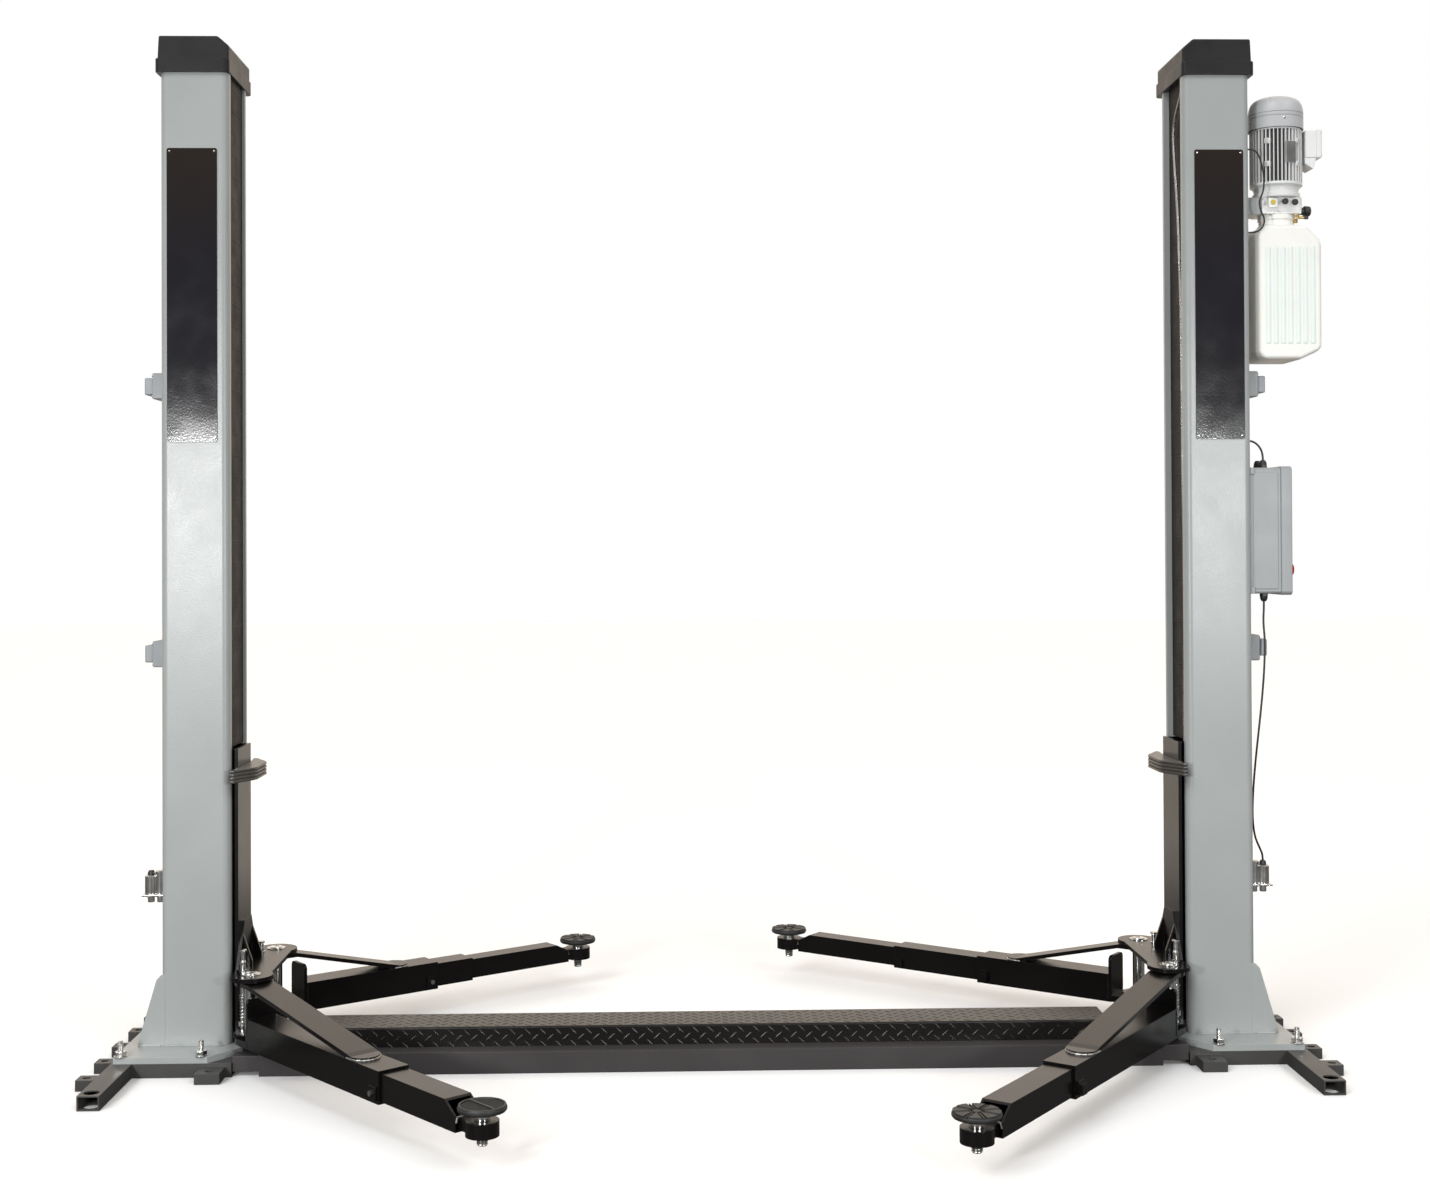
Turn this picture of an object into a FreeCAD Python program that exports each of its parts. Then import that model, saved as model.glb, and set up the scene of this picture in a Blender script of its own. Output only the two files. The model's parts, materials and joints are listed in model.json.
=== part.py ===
import FreeCAD, Part
import math
import os

from FreeCAD import Vector

# Two post car lift with a base frame. Millimetres, +Z up, floor at Z = 0.
# The origin lies on the floor, midway between the two columns.
# +X runs along the cross rail to the column with the power unit, and
# +Y runs away from the front face of the columns.

os.makedirs("parts", exist_ok=True)

TINY = 1e-6

# Columns
CLEAR_WIDTH = 2780.0
COLUMN_WIDTH = 196.0
COLUMN_DEPTH = 244.0
COLUMN_HEIGHT = 2807.0
COLUMN_WALL = 6.0
COLUMN_RADIUS = 20.0
COLUMN_MOUTH = 180.0
RETURN_DEPTH = 30.0
GUSSET_REACH = 52.0
GUSSET_HEIGHT = 203.0
GUSSET_T = 8.0
GUSSET_EDGE = 14.0
GUSSET_KNEE_Z = 95.0
GUSSET_KNEE_SHARE = 0.45
GUSSET_TIP = 12.0

IN_X = CLEAR_WIDTH / 2
OUT_X = IN_X + COLUMN_WIDTH
HALF_D = COLUMN_DEPTH / 2

# Base plates
PLATE_T = 18.0
PLATE_DEPTH = 484.0
PLATE_OUTER = 102.0
PLATE_INNER = 90.0
PLATE_CORNER_X = 125.0
PLATE_CORNER_Y = 158.0

# Base frame tubes
FRAME_W = 60.0
FRAME_H = 40.0
FRAME_WALL = 4.0
OUTRIGGER_LENGTH = 1080.0
OUTRIGGER_OFFSET = 50.0
FOOT_HOLE_R = 21.0
FOOT_HOLE_INSET = 32.0
FRONT_TUBE_INSET = 32.0
LUG_LENGTH = 60.0
LUG_WIDTH = 50.0
LUG_T = 30.0
LUG_HOLE_R = 11.0
LUG_PITCH = 168.0
FRONT_LUG_LENGTH = 70.0
FRONT_LUG_WIDTH = 70.0
FRONT_LUG_INSET = 20.0
LUG_HOLE_SHARE = 0.4

PLATE_TOP = FRAME_H + PLATE_T
COLUMN_TOP = PLATE_TOP + COLUMN_HEIGHT
OUTRIGGER_X = OUT_X + OUTRIGGER_OFFSET
FRONT_TUBE_INNER = IN_X - FRONT_TUBE_INSET
FRONT_LUG_X = IN_X + FRONT_LUG_INSET

# Cross rail and tread cover
RAIL_W = 60.0
RAIL_H = 61.5
RAIL_WALL = 4.0
RAIL_FRONT_Y = -239.0
RAIL_END_GAP = 108.0
RAIL_END_W = 48.0
RAIL_END_H = 44.0
RAIL_END_OVERLAP = 200.0
COVER_END_GAP = 250.0
COVER_DEPTH = 155.0
COVER_TOP = 117.6
COVER_T = 3.0

RAIL_BACK_Y = RAIL_FRONT_Y + RAIL_W
RAIL_HALF = IN_X - RAIL_END_GAP
COVER_HALF = IN_X - COVER_END_GAP

# Column caps
CAP_SKIRT_H = 40.0
CAP_OUTER = 13.0
CAP_INNER = 4.0
CAP_FRONT = 9.0
CAP_REAR = 45.0
CAP_HEIGHT = 103.0
CAP_OVERLAP = 3.0
CAP_PLAY = 1.5
CAP_CORNER = 14.0
CAP_WALL = 4.0
CAP_SIDE = 10.0
CAP_SLOPE = 34.0
CAP_CHAMFER = 28.0
CAP_STEP = 5.0
CAP_REAR_STEP = 20.0

CAP_TOP = COLUMN_TOP + CAP_HEIGHT

# Anchor bolts
ANCHOR_R = 8.0
ANCHOR_STAND = 45.0
ANCHOR_NUT_R = 17.0
ANCHOR_NUT_H = 16.0
ANCHOR_INSET = 55.0
ANCHOR_OFFSET = 84.0
ANCHOR_EDGE = 13.0

ANCHOR_INNER_X = IN_X + ANCHOR_INSET
ANCHOR_OUTER_X = OUT_X + ANCHOR_OFFSET
ANCHOR_Y = PLATE_DEPTH / 2 - ANCHOR_EDGE

# Carriages
FIT_GAP = 0.3
PIVOT_INSET = 72.0
PIVOT_Y = 172.0
PIN_R = 18.0
PIN_CLEARANCE = 0.05
PIN_HEAD_R = 28.0
PIN_HEAD_T = 6.0
PIN_FOOT = 4.0
CARRIAGE_TOP = 905.0
CARRIAGE_WALL = 10.0
CARRIAGE_PANEL_INSET = 16.0
CARRIAGE_PANEL_HALF = 83.0
CARRIAGE_BOX_HALF = 72.0
CARRIAGE_BACK_GAP = 41.0
CLEVIS_BOTTOM_Z = 67.0
CLEVIS_BOTTOM_T = 10.0
CLEVIS_TOP_Z = 260.0
CLEVIS_TOP_T = 12.0
CLEVIS_LOBE_R = 50.0
CLEVIS_WAIST_INSET = 52.0
CLEVIS_BACK_HALF = 112.0
CLEVIS_LOBE_SHARE = 0.96
CLEVIS_NECK_X = 14.0
CLEVIS_HOLLOW_X = 40.0
CLEVIS_HOLLOW_Y = 30.0
CLEVIS_WAIST_HALF = 60.0
SADDLE_H = 128.0
SADDLE_TOP_HALF = 45.0
SADDLE_BASE_HALF = 118.0
SADDLE_T = 10.0
SADDLE_WINDOW_HALF = 48.0
SADDLE_WINDOW_H = 44.0
SADDLE_RIB_REACH = 26.0
SADDLE_RIB_FOOT = 16.0
SADDLE_RIB_H = 92.0
SADDLE_RIB_Y = 66.0
SADDLE_RIB_T = 10.0
SLIDE_BLOCK_H = 120.0
SLIDE_FOOT_GAP = 30.0
SLIDE_TOP_GAP = 20.0
BUMPER_DROP = 93.0
BUMPER_H = 40.0
BUMPER_RIBS = 4
BUMPER_REACH = 52.0
BUMPER_HALF = 157.0
BUMPER_FLAT_HALF = 66.0
BUMPER_KNEE_HALF = 110.0
BUMPER_KNEE_SHARE = 0.6
BUMPER_TIP = 8.0
BUMPER_GROOVE = 3.0
BUMPER_BACK_T = 6.0

PIVOT_X = IN_X - PIVOT_INSET
CARRIAGE_PANEL_X = IN_X - CARRIAGE_PANEL_INSET
CARRIAGE_BOX_BACK = OUT_X - CARRIAGE_BACK_GAP
CLEVIS_WAIST_X = IN_X - CLEVIS_WAIST_INSET
CLEVIS_TOP = CLEVIS_TOP_Z + CLEVIS_TOP_T
SADDLE_TOP = CLEVIS_TOP + SADDLE_H
BUMPER_Z = CARRIAGE_TOP - BUMPER_DROP

# Arm locks
LOCK_INSET = 38.0
LOCK_Y = 120.0
LOCK_ROD_R = 8.0
LOCK_NECK_R = 6.0
LOCK_HEAD_R = 10.5
LOCK_STAND_FRONT = 60.0
LOCK_STAND_REAR = 33.0
LOCK_GAP = 4.0
LOCK_FOOT = 28.0
LOCK_SHOULDER_Z = 24.0
LOCK_SHOULDER_H = 6.0
LOCK_HEAD_H = 4.0
PAWL_R = 14.0
PAWL_GAP = 0.6
PAWL_SPREAD = 0.5
TOOTH_TIP_SHARE = 0.12
TOOTH_TIP_GROWTH = 0.02
TOOTH_FOOT_SHARE = 0.36
TOOTH_FOOT_GROWTH = 0.06
GEAR_TEETH = 48
GEAR_R = 50.0
GEAR_DEPTH = 4.0
GEAR_T = 12.0

LOCK_X = IN_X - LOCK_INSET
LOCK_TOP_FRONT = CLEVIS_TOP + LOCK_STAND_FRONT
LOCK_TOP_REAR = CLEVIS_TOP + LOCK_STAND_REAR

# Arms
ARM_SEAT_GAP = 1.0
ARM_EYE_T = 20.0
ARM_EYE_R = 45.0
ARM_W = 90.0
ARM_H = 85.0
ARM_WALL = 6.0
INNER_WALL = 5.0
TELESCOPE_GAP = 0.5
STRAP_W = 84.0
STRAP_T = 12.0
STRAP_GAP = 3.0
STRAP_BEND = 6.0
STRAP_FOOT = 20.0
STRAP_END_SHARE = 0.6
HEAD_PLATE_H = 140.0
HEAD_PLATE_T = 10.0
FRONT_HEAD_X = 62.0
REAR_HEAD_X = 80.0
FRONT_OUTER_END = 755.0
REAR_OUTER_END = 530.0
FRONT_STRAP_END = 655.0
REAR_STRAP_END = 440.0
FRONT_INNER_LENGTH = 760.0
MID_LENGTH = 430.0
THIRD_LENGTH = 530.0
ARM_EYE_OUT_R = 41.0
ARM_EYE_OUT_H = 37.0
EYE_REACH = 58.0
EYE_SLOPE = 46.0
EYE_NECK = 60.0
EYE_NECK_SHARE = 0.36
HEAD_CORNER = 15.0
STOP_BLOCK = 14.0
STOP_INSET = 12.0
STOP_LENGTH = 28.0
STOP_LIFT = 8.0
STOP_H = 28.0
MID_STOP_BLOCK = 9.8
MID_STOP_INSET = 10.0
MID_STOP_LENGTH = 24.0
MID_STOP_LIFT = 6.0
MID_STOP_H = 24.0

ARM_Z = CLEVIS_BOTTOM_Z + CLEVIS_BOTTOM_T + ARM_SEAT_GAP
STRAP_Z = CLEVIS_TOP_Z - STRAP_GAP - STRAP_T

# Lifting pads
PAD_R = 60.0
PAD_SEAT_H = 6.0
PAD_RUBBER_H = 27.0
SPINDLE_R = 14.0
SPINDLE_DROP = 17.0
PAD_CUP_R = 34.0
PAD_CUP_BASE_R = 22.0
PAD_GROOVE = 5.0
PAD_GROOVES = 4

EYE_TOP_FRONT = ARM_Z + ARM_WALL + TELESCOPE_GAP + ARM_EYE_OUT_H
EYE_TOP_REAR = EYE_TOP_FRONT + INNER_WALL + TELESCOPE_GAP
PAD_SEAT = EYE_TOP_REAR + PAD_SEAT_H
PAD_TOP = PAD_SEAT + PAD_RUBBER_H
SPINDLE_BOTTOM = ARM_Z - SPINDLE_DROP

# Swing of each arm from +X, counter-clockwise, and reach of its pad
FRONT_LEFT_ANGLE = -49.7
FRONT_RIGHT_ANGLE = 233.4
REAR_LEFT_ANGLE = 36.0
REAR_RIGHT_ANGLE = 143.3
FRONT_LEFT_REACH = 1148.0
FRONT_RIGHT_REACH = 1215.0
REAR_LEFT_MID = 661.0
REAR_RIGHT_MID = 840.0
REAR_LEFT_SHOWN = 431.0
REAR_RIGHT_SHOWN = 439.0

REAR_LEFT_REACH = REAR_LEFT_MID + REAR_LEFT_SHOWN
REAR_RIGHT_REACH = REAR_RIGHT_MID + REAR_RIGHT_SHOWN

# Power unit on the outer face of the right column
UNIT_OFFSET = 111.0
UNIT_Y = -20.0
MOTOR_R = 76.0
MOTOR_CORE_R = 69.0
MOTOR_FINS = 20
FIN_T = 3.0
COWL_R = 80.0
COWL_WALL = 2.5
COWL_CROWN = 24.0
UNIT_DROP = 401.0
VALVE_H = 50.0
VALVE_HALF = 60.0
VALVE_DEPTH = 52.0
KNOB_R = 16.0
KNOB_REACH = 42.0
BELL_H = 40.0
BELL_FOOT_R = 50.0
MOTOR_H = 164.0
COWL_H = 101.0
NECK_H = 38.0
NECK_R = 51.0
TANK_H = 396.0
TANK_INNER = 80.0
TANK_OUTER = 106.0
TANK_HALF_Y = 88.0
TANK_SHOULDER = 50.0
TANK_FOOT = 30.0
TANK_CORNER = 14.0
TERMINAL_REACH = 50.0
TERMINAL_HALF = 42.0
TERMINAL_H = 86.0
TERMINAL_FOOT = 32.0
TERMINAL_TOE = 12.5
TERMINAL_HEEL = 25.0
TERMINAL_BACK_FOOT = 16.0
BRACKET_T = 8.0
BRACKET_HALF = 60.0
BRACKET_SIDE = 20.0

UNIT_X = OUT_X + UNIT_OFFSET
VALVE_BOTTOM = COLUMN_TOP - UNIT_DROP
BELL_BOTTOM = VALVE_BOTTOM + VALVE_H
MOTOR_BOTTOM = BELL_BOTTOM + BELL_H
MOTOR_TOP = MOTOR_BOTTOM + MOTOR_H
COWL_TOP = MOTOR_TOP + COWL_H
TANK_TOP = VALVE_BOTTOM - NECK_H
TANK_BOTTOM = TANK_TOP - TANK_H
TERMINAL_X = UNIT_X + MOTOR_R

# Control box on the outer face of the right column
BOX_BOTTOM = 1340.0
BOX_HEIGHT = 371.0
BOX_DEPTH = 92.0
BOX_WIDTH = 200.0
BOX_LID_T = 33.0
BOX_LID_EDGE = 4.0
BOX_WALL = 2.5
GLAND_R = 12.0
GLAND_H = 24.0
GLAND_OFFSET = 56.0
GLAND_PLACES = (-50.0, 0.0)

# Emergency stop button on the lid of the control box
BUTTON_Y = -40.0
BUTTON_LIFT = 70.0
BUTTON_R = 20.0
BUTTON_T = 14.0
BUTTON_TRAVEL = 4.0
BUTTON_STEM_R = 11.0
BUTTON_STEM_REACH = 4.0
BUTTON_FIT = 0.4

# Cover blocks, name panels and ropes on the columns
PANEL_T = 3.0
PANEL_INNER = 32.0
PANEL_OUTER = 20.0
PANEL_BOTTOM_DROP = 1071.0
PANEL_TOP_DROP = 222.0
COVER_BLOCK_DROPS = (905.0, 1685.0)
COVER_BLOCK_W = 140.0
COVER_BLOCK_H = 76.0
COVER_BLOCK_REACH = 37.0
COVER_LID_REACH = 63.0
COVER_LID_EDGE = 13.0
SOLENOID_DROP = 2407.0
SOLENOID_H = 92.0
SOLENOID_OFFSET = 47.0
SOLENOID_Y = -50.0
SOLENOID_R = 17.0
SOLENOID_FLANGE_R = 20.0
SOLENOID_FLANGE_H = 16.0
SOLENOID_PLATE_T = 6.0
SOLENOID_PLATE_HALF = 32.0
ROPE_R = 4.5
ROPE_Y = -66.0
CURTAIN_T = 3.0
CURTAIN_INSET = 16.0
CURTAIN_HALF = 78.0
CURTAIN_GAP = 2.0
ROPE_GAP = 1.5

ROPE_BEHIND_X = IN_X + CURTAIN_INSET + CURTAIN_T + ROPE_R + ROPE_GAP

# Route of the right rope, from the cap down to the carriage
ROPE_ROUTE = [
    (IN_X + 9, -81, COLUMN_TOP), (IN_X + 9, -81, COLUMN_TOP - 30), (IN_X + 8, -64, COLUMN_TOP - 58),
    (IN_X + 8, -12, COLUMN_TOP - 97), (IN_X + 8, 14, COLUMN_TOP - 140), (IN_X + 8, 6, COLUMN_TOP - 200),
    (IN_X + 8, -33, COLUMN_TOP - 403), (IN_X + 8, -61, COLUMN_TOP - 680), (IN_X + 7, -65, COLUMN_TOP - 1080),
    (IN_X + 8, -77, COLUMN_TOP - 1500), (IN_X + 7, -69, CARRIAGE_TOP + 120), (IN_X + 7, -69, CARRIAGE_TOP)]

# Cables on the outer face of the right column
TANGENT_SHARE = 0.45
MOTOR_CABLE_R = 2.5
FEED_CABLE_R = 3.0
CONTROL_CABLE_R = 3.0

MOTOR_CABLE_ROUTE = [
    (OUT_X, -97, COLUMN_TOP - 216), (OUT_X + 20, -97, COLUMN_TOP - 216), (OUT_X + 34, -99, COLUMN_TOP - 231),
    (OUT_X + 42, -103, COLUMN_TOP - 262), (OUT_X + 48, -106, COLUMN_TOP - 303),
    (OUT_X + 44, -110, COLUMN_TOP - 343), (OUT_X + 29, -112, COLUMN_TOP - 371),
    (OUT_X + 34, -114, COLUMN_TOP - 399), (OUT_X + 45, -115, COLUMN_TOP - 422),
    (OUT_X + 43, -116, COLUMN_TOP - 441), (OUT_X + 33, -111, COLUMN_TOP - 457),
    (OUT_X + 17, -99, COLUMN_TOP - 462), (OUT_X, -99, COLUMN_TOP - 462)]
GLAND_X = OUT_X + GLAND_OFFSET
GLAND_TOP = BOX_BOTTOM + BOX_HEIGHT + GLAND_H
FEED_CABLE_ROUTE = [
    (GLAND_X, GLAND_PLACES[0], GLAND_TOP), (GLAND_X, GLAND_PLACES[0], GLAND_TOP + 22),
    (GLAND_X - 15, -52, GLAND_TOP + 46), (GLAND_X - 36, -54, GLAND_TOP + 58), (OUT_X, -54, GLAND_TOP + 58)]
SOLENOID_X = OUT_X + SOLENOID_OFFSET
SOLENOID_TOP = COLUMN_TOP - SOLENOID_DROP + SOLENOID_H
CONTROL_CABLE_ROUTE = [
    (GLAND_X, GLAND_PLACES[0], BOX_BOTTOM - GLAND_H), (GLAND_X, GLAND_PLACES[0], BOX_BOTTOM - 46),
    (OUT_X + 48, -67, BOX_BOTTOM - 84), (OUT_X + 49, -80, BOX_BOTTOM - 140),
    (OUT_X + 46, -81, BOX_BOTTOM - 220), (OUT_X + 39, -81, BOX_BOTTOM - 305),
    (OUT_X + 29, -82, BOX_BOTTOM - 392), (OUT_X + 19, -81, BOX_BOTTOM - 480),
    (OUT_X + 11, -80, BOX_BOTTOM - 568), (OUT_X + 9, -75, BOX_BOTTOM - 652),
    (OUT_X + 18, -64, BOX_BOTTOM - 716), (OUT_X + 40, -50, BOX_BOTTOM - 758),
    (SOLENOID_X, SOLENOID_Y, SOLENOID_TOP + 16), (SOLENOID_X, SOLENOID_Y, SOLENOID_TOP)]

SIDES = {"left": -1, "right": 1}


def box(x0, x1, y0, y1, z0, z1):
    return Part.makeBox(x1 - x0, y1 - y0, z1 - z0, Vector(x0, y0, z0))


def cylinder(x, y, z0, z1, radius):
    return Part.makeCylinder(radius, z1 - z0, Vector(x, y, z0))


def cone(x, y, z0, z1, low_radius, high_radius):
    return Part.makeCone(low_radius, high_radius, z1 - z0, Vector(x, y, z0))


def prism(points, direction):
    wire = Part.makePolygon(points + [points[0]])
    return Part.Face(wire).extrude(direction)


def prism_z(points, z0, z1):
    return prism([Vector(x, y, z0) for x, y in points], Vector(0, 0, z1 - z0))


def prism_y(points, y0, y1):
    return prism([Vector(x, y0, z) for x, z in points], Vector(0, y1 - y0, 0))


def prism_x(points, x0, x1):
    return prism([Vector(x0, y, z) for y, z in points], Vector(x1 - x0, 0, 0))


def tube_x(x0, x1, y0, y1, z0, z1, wall):
    bore = box(x0 - 1, x1 + 1, y0 + wall, y1 - wall, z0 + wall, z1 - wall)
    return box(x0, x1, y0, y1, z0, z1).cut(bore)


def tube_y(x0, x1, y0, y1, z0, z1, wall):
    bore = box(x0 + wall, x1 - wall, y0 - 1, y1 + 1, z0 + wall, z1 - wall)
    return box(x0, x1, y0, y1, z0, z1).cut(bore)


def fillet_upright(shape, radius):
    """Round the vertical edges of a prism."""
    edges = [e for e in shape.Edges if is_upright(e)]
    return shape.makeFillet(radius, edges)


def is_upright(edge):
    start, end = edge.Vertexes[0].Point, edge.Vertexes[-1].Point
    return abs(start.x - end.x) < TINY and abs(start.y - end.y) < TINY


def fused(shapes):
    return shapes[0].multiFuse(shapes[1:]).removeSplitter()


def front_and_rear(shape):
    return [shape, shape.mirror(Vector(0, 0, 0), Vector(0, 1, 0))]


def on_side(shape, side):
    """Shapes are drawn for the right side and mirrored for the left."""
    if side > 0:
        return shape
    return shape.mirror(Vector(0, 0, 0), Vector(1, 0, 0))


def both(shape):
    return [on_side(shape, side) for side in SIDES.values()]


def save(node, *shapes):
    solids = []
    for shape in shapes:
        solids.extend(shape.Solids)
    result = solids[0] if len(solids) == 1 else Part.makeCompound(solids)
    result.exportStep("parts/" + node + ".step")


# Base frame
def frame_lug(x, y):
    outer = x + LUG_LENGTH
    body = box(x, outer, y - LUG_WIDTH / 2, y + LUG_WIDTH / 2, 0, LUG_T)
    hole_x = outer - LUG_LENGTH * LUG_HOLE_SHARE
    return body.cut(cylinder(hole_x, y, -1, LUG_T + 1, LUG_HOLE_R))


def front_lug():
    y0 = -PLATE_DEPTH / 2 - FRONT_LUG_LENGTH
    x0 = FRONT_LUG_X - FRONT_LUG_WIDTH / 2
    body = box(x0, x0 + FRONT_LUG_WIDTH, y0, -PLATE_DEPTH / 2, 0, LUG_T)
    hole_y = y0 + FRONT_LUG_LENGTH * LUG_HOLE_SHARE
    return body.cut(cylinder(FRONT_LUG_X, hole_y, -1, LUG_T + 1, LUG_HOLE_R))


def base_frame():
    half = OUTRIGGER_LENGTH / 2
    x0, x1 = OUTRIGGER_X, OUTRIGGER_X + FRAME_W
    outrigger = tube_y(x0, x1, -half, half, 0, FRAME_H, FRAME_WALL)
    for y in (-half + FOOT_HOLE_INSET, half - FOOT_HOLE_INSET):
        outrigger = outrigger.cut(cylinder(x0 + FRAME_W / 2, y, -1, FRAME_H + 1, FOOT_HOLE_R))
    y0 = -PLATE_DEPTH / 2
    cross = tube_x(FRONT_TUBE_INNER, x0, y0, y0 + FRAME_W, 0, FRAME_H, FRAME_WALL)
    inner_x = FRONT_TUBE_INNER + FRAME_W
    member = box(FRONT_TUBE_INNER, inner_x, y0 + FRAME_W, -y0 - FRAME_W, 0, FRAME_H)
    hollow = box(FRONT_TUBE_INNER + FRAME_WALL, inner_x - FRAME_WALL,
                 y0 + FRAME_W, -y0 - FRAME_W, -1, FRAME_H - FRAME_WALL)
    pieces = [outrigger, member.cut(hollow)]
    pieces += front_and_rear(cross)
    pieces += front_and_rear(front_lug())
    for step in range(-2, 3):
        pieces.append(frame_lug(x1, step * LUG_PITCH))
    return fused(pieces)


def cross_rail():
    return tube_x(-RAIL_HALF, RAIL_HALF, RAIL_FRONT_Y, RAIL_BACK_Y, 0, RAIL_H, RAIL_WALL)


def rail_end():
    middle = RAIL_FRONT_Y + RAIL_W / 2
    top = RAIL_H - RAIL_WALL - FIT_GAP
    return tube_x(RAIL_HALF - RAIL_END_OVERLAP, FRONT_TUBE_INNER, middle - RAIL_END_W / 2,
                  middle + RAIL_END_W / 2, top - RAIL_END_H, top, RAIL_WALL)


def tread_cover():
    y0, y1 = RAIL_BACK_Y, RAIL_BACK_Y + COVER_DEPTH
    outer = box(-COVER_HALF, COVER_HALF, y0, y1, 0, COVER_TOP)
    inner = box(-COVER_HALF - 1, COVER_HALF + 1, y0 + COVER_T, y1 - COVER_T, -1, COVER_TOP - COVER_T)
    return outer.cut(inner)


def base_plate():
    half = PLATE_DEPTH / 2
    outer, inner = OUT_X + PLATE_OUTER, IN_X - PLATE_INNER
    points = [(outer, -half), (outer, half), (inner + PLATE_CORNER_X, half),
              (inner, half - PLATE_CORNER_Y), (inner, -half + PLATE_CORNER_Y),
              (inner + PLATE_CORNER_X, -half)]
    plate = prism_z(points, FRAME_H, PLATE_TOP)
    for x, y in anchor_places():
        plate = plate.cut(cylinder(x, y, FRAME_H - 1, PLATE_TOP + 1, ANCHOR_R + FIT_GAP))
    return plate


def anchor_places():
    return [(x, y) for x in (ANCHOR_INNER_X, ANCHOR_OUTER_X) for y in (-ANCHOR_Y, ANCHOR_Y)]


def anchor_bolt(x, y):
    corners = [Vector(x + ANCHOR_NUT_R * math.cos(math.radians(60 * k)),
                      y + ANCHOR_NUT_R * math.sin(math.radians(60 * k)), PLATE_TOP) for k in range(6)]
    nut = prism(corners, Vector(0, 0, ANCHOR_NUT_H))
    return nut.fuse(cylinder(x, y, FRAME_H, PLATE_TOP + ANCHOR_STAND, ANCHOR_R))


# Columns
def column():
    outer = fillet_upright(box(IN_X, OUT_X, -HALF_D, HALF_D, PLATE_TOP, COLUMN_TOP), COLUMN_RADIUS)
    bore = box(IN_X + COLUMN_WALL, OUT_X - COLUMN_WALL, -HALF_D + COLUMN_WALL, HALF_D - COLUMN_WALL,
               PLATE_TOP - 1, COLUMN_TOP + 1)
    bore = fillet_upright(bore, COLUMN_RADIUS - COLUMN_WALL)
    half = COLUMN_MOUTH / 2
    mouth = box(IN_X - 1, IN_X + COLUMN_WALL + 1, -half, half, PLATE_TOP - 1, COLUMN_TOP + 1)
    shell = fused([outer] + front_and_rear(column_gusset())).cut(bore).cut(mouth)
    inward = box(IN_X, IN_X + RETURN_DEPTH, half, half + COLUMN_WALL, PLATE_TOP, COLUMN_TOP)
    return fused([shell] + front_and_rear(inward))


def column_gusset():
    top = PLATE_TOP + GUSSET_HEIGHT
    reach = OUT_X + GUSSET_REACH
    points = [(OUT_X - COLUMN_RADIUS, PLATE_TOP), (reach, PLATE_TOP), (reach, PLATE_TOP + GUSSET_EDGE),
              (OUT_X + GUSSET_REACH * GUSSET_KNEE_SHARE, PLATE_TOP + GUSSET_KNEE_Z),
              (OUT_X + GUSSET_TIP, top - GUSSET_TIP), (OUT_X, top), (OUT_X - COLUMN_RADIUS, top)]
    return prism_y(points, -HALF_D, -HALF_D + GUSSET_T)


def column_cap():
    skirt_z = COLUMN_TOP - CAP_OVERLAP
    x0, x1 = IN_X - CAP_INNER, OUT_X + CAP_OUTER
    y0, y1 = -HALF_D - CAP_FRONT, HALF_D + CAP_REAR
    skirt = fillet_upright(box(x0, x1, y0, y1, skirt_z, skirt_z + CAP_SKIRT_H), CAP_CORNER)
    points = [(x0 + 1, skirt_z), (x1 - CAP_STEP, skirt_z), (x1 - 2 * CAP_STEP, CAP_TOP),
              (x0 + CAP_SLOPE, CAP_TOP), (x0 + 1, CAP_TOP - CAP_CHAMFER)]
    body = prism_y(points, y0 + CAP_STEP, y1 - CAP_REAR_STEP)
    inside = box(IN_X - CAP_PLAY, OUT_X + CAP_PLAY, -HALF_D - CAP_PLAY, HALF_D + CAP_PLAY,
                 skirt_z - 1, COLUMN_TOP)
    inside = fillet_upright(inside, CAP_CORNER)
    hollow = box(x0 + CAP_SLOPE + CAP_SIDE, x1 - 2 * CAP_STEP - CAP_SIDE, -HALF_D + CAP_SIDE,
                 HALF_D - CAP_SIDE, skirt_z - 1, CAP_TOP - CAP_WALL)
    return fused([skirt, body]).cut(inside).cut(hollow)


def name_panel():
    z0, z1 = COLUMN_TOP - PANEL_BOTTOM_DROP, COLUMN_TOP - PANEL_TOP_DROP
    x0, x1 = IN_X + PANEL_INNER, OUT_X - PANEL_OUTER
    return box(x0, x1, -HALF_D - PANEL_T, -HALF_D, z0, z1)


def cover_block(drop):
    z = COLUMN_TOP - drop
    half, tall = COVER_BLOCK_W / 2, COVER_BLOCK_H / 2
    foot = box(OUT_X, OUT_X + COVER_BLOCK_REACH, -half, half, z - tall, z + tall)
    half, tall = half - COVER_LID_EDGE, tall - COVER_LID_EDGE
    lid = box(OUT_X, OUT_X + COVER_LID_REACH, -half, half, z - tall, z + tall)
    return foot.fuse(lid).removeSplitter()


def lock_solenoid():
    x, y = SOLENOID_X, SOLENOID_Y
    plate_top = SOLENOID_TOP - SOLENOID_FLANGE_H
    plate_z = plate_top - SOLENOID_PLATE_T
    coil = cylinder(x, y, SOLENOID_TOP - SOLENOID_H, plate_z, SOLENOID_R)
    flange = cylinder(x, y, plate_top, SOLENOID_TOP, SOLENOID_FLANGE_R)
    plate = box(OUT_X, x + SOLENOID_FLANGE_R, y - SOLENOID_PLATE_HALF, y + SOLENOID_PLATE_HALF,
                plate_z, plate_top)
    return fused([plate, coil, flange])


def sync_ropes():
    """The right rope runs in front of its curtain, and the left one behind it."""
    left = cylinder(-ROPE_BEHIND_X, ROPE_Y, CARRIAGE_TOP, COLUMN_TOP, ROPE_R)
    return [left, cord(ROPE_ROUTE, ROPE_R)]


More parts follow.
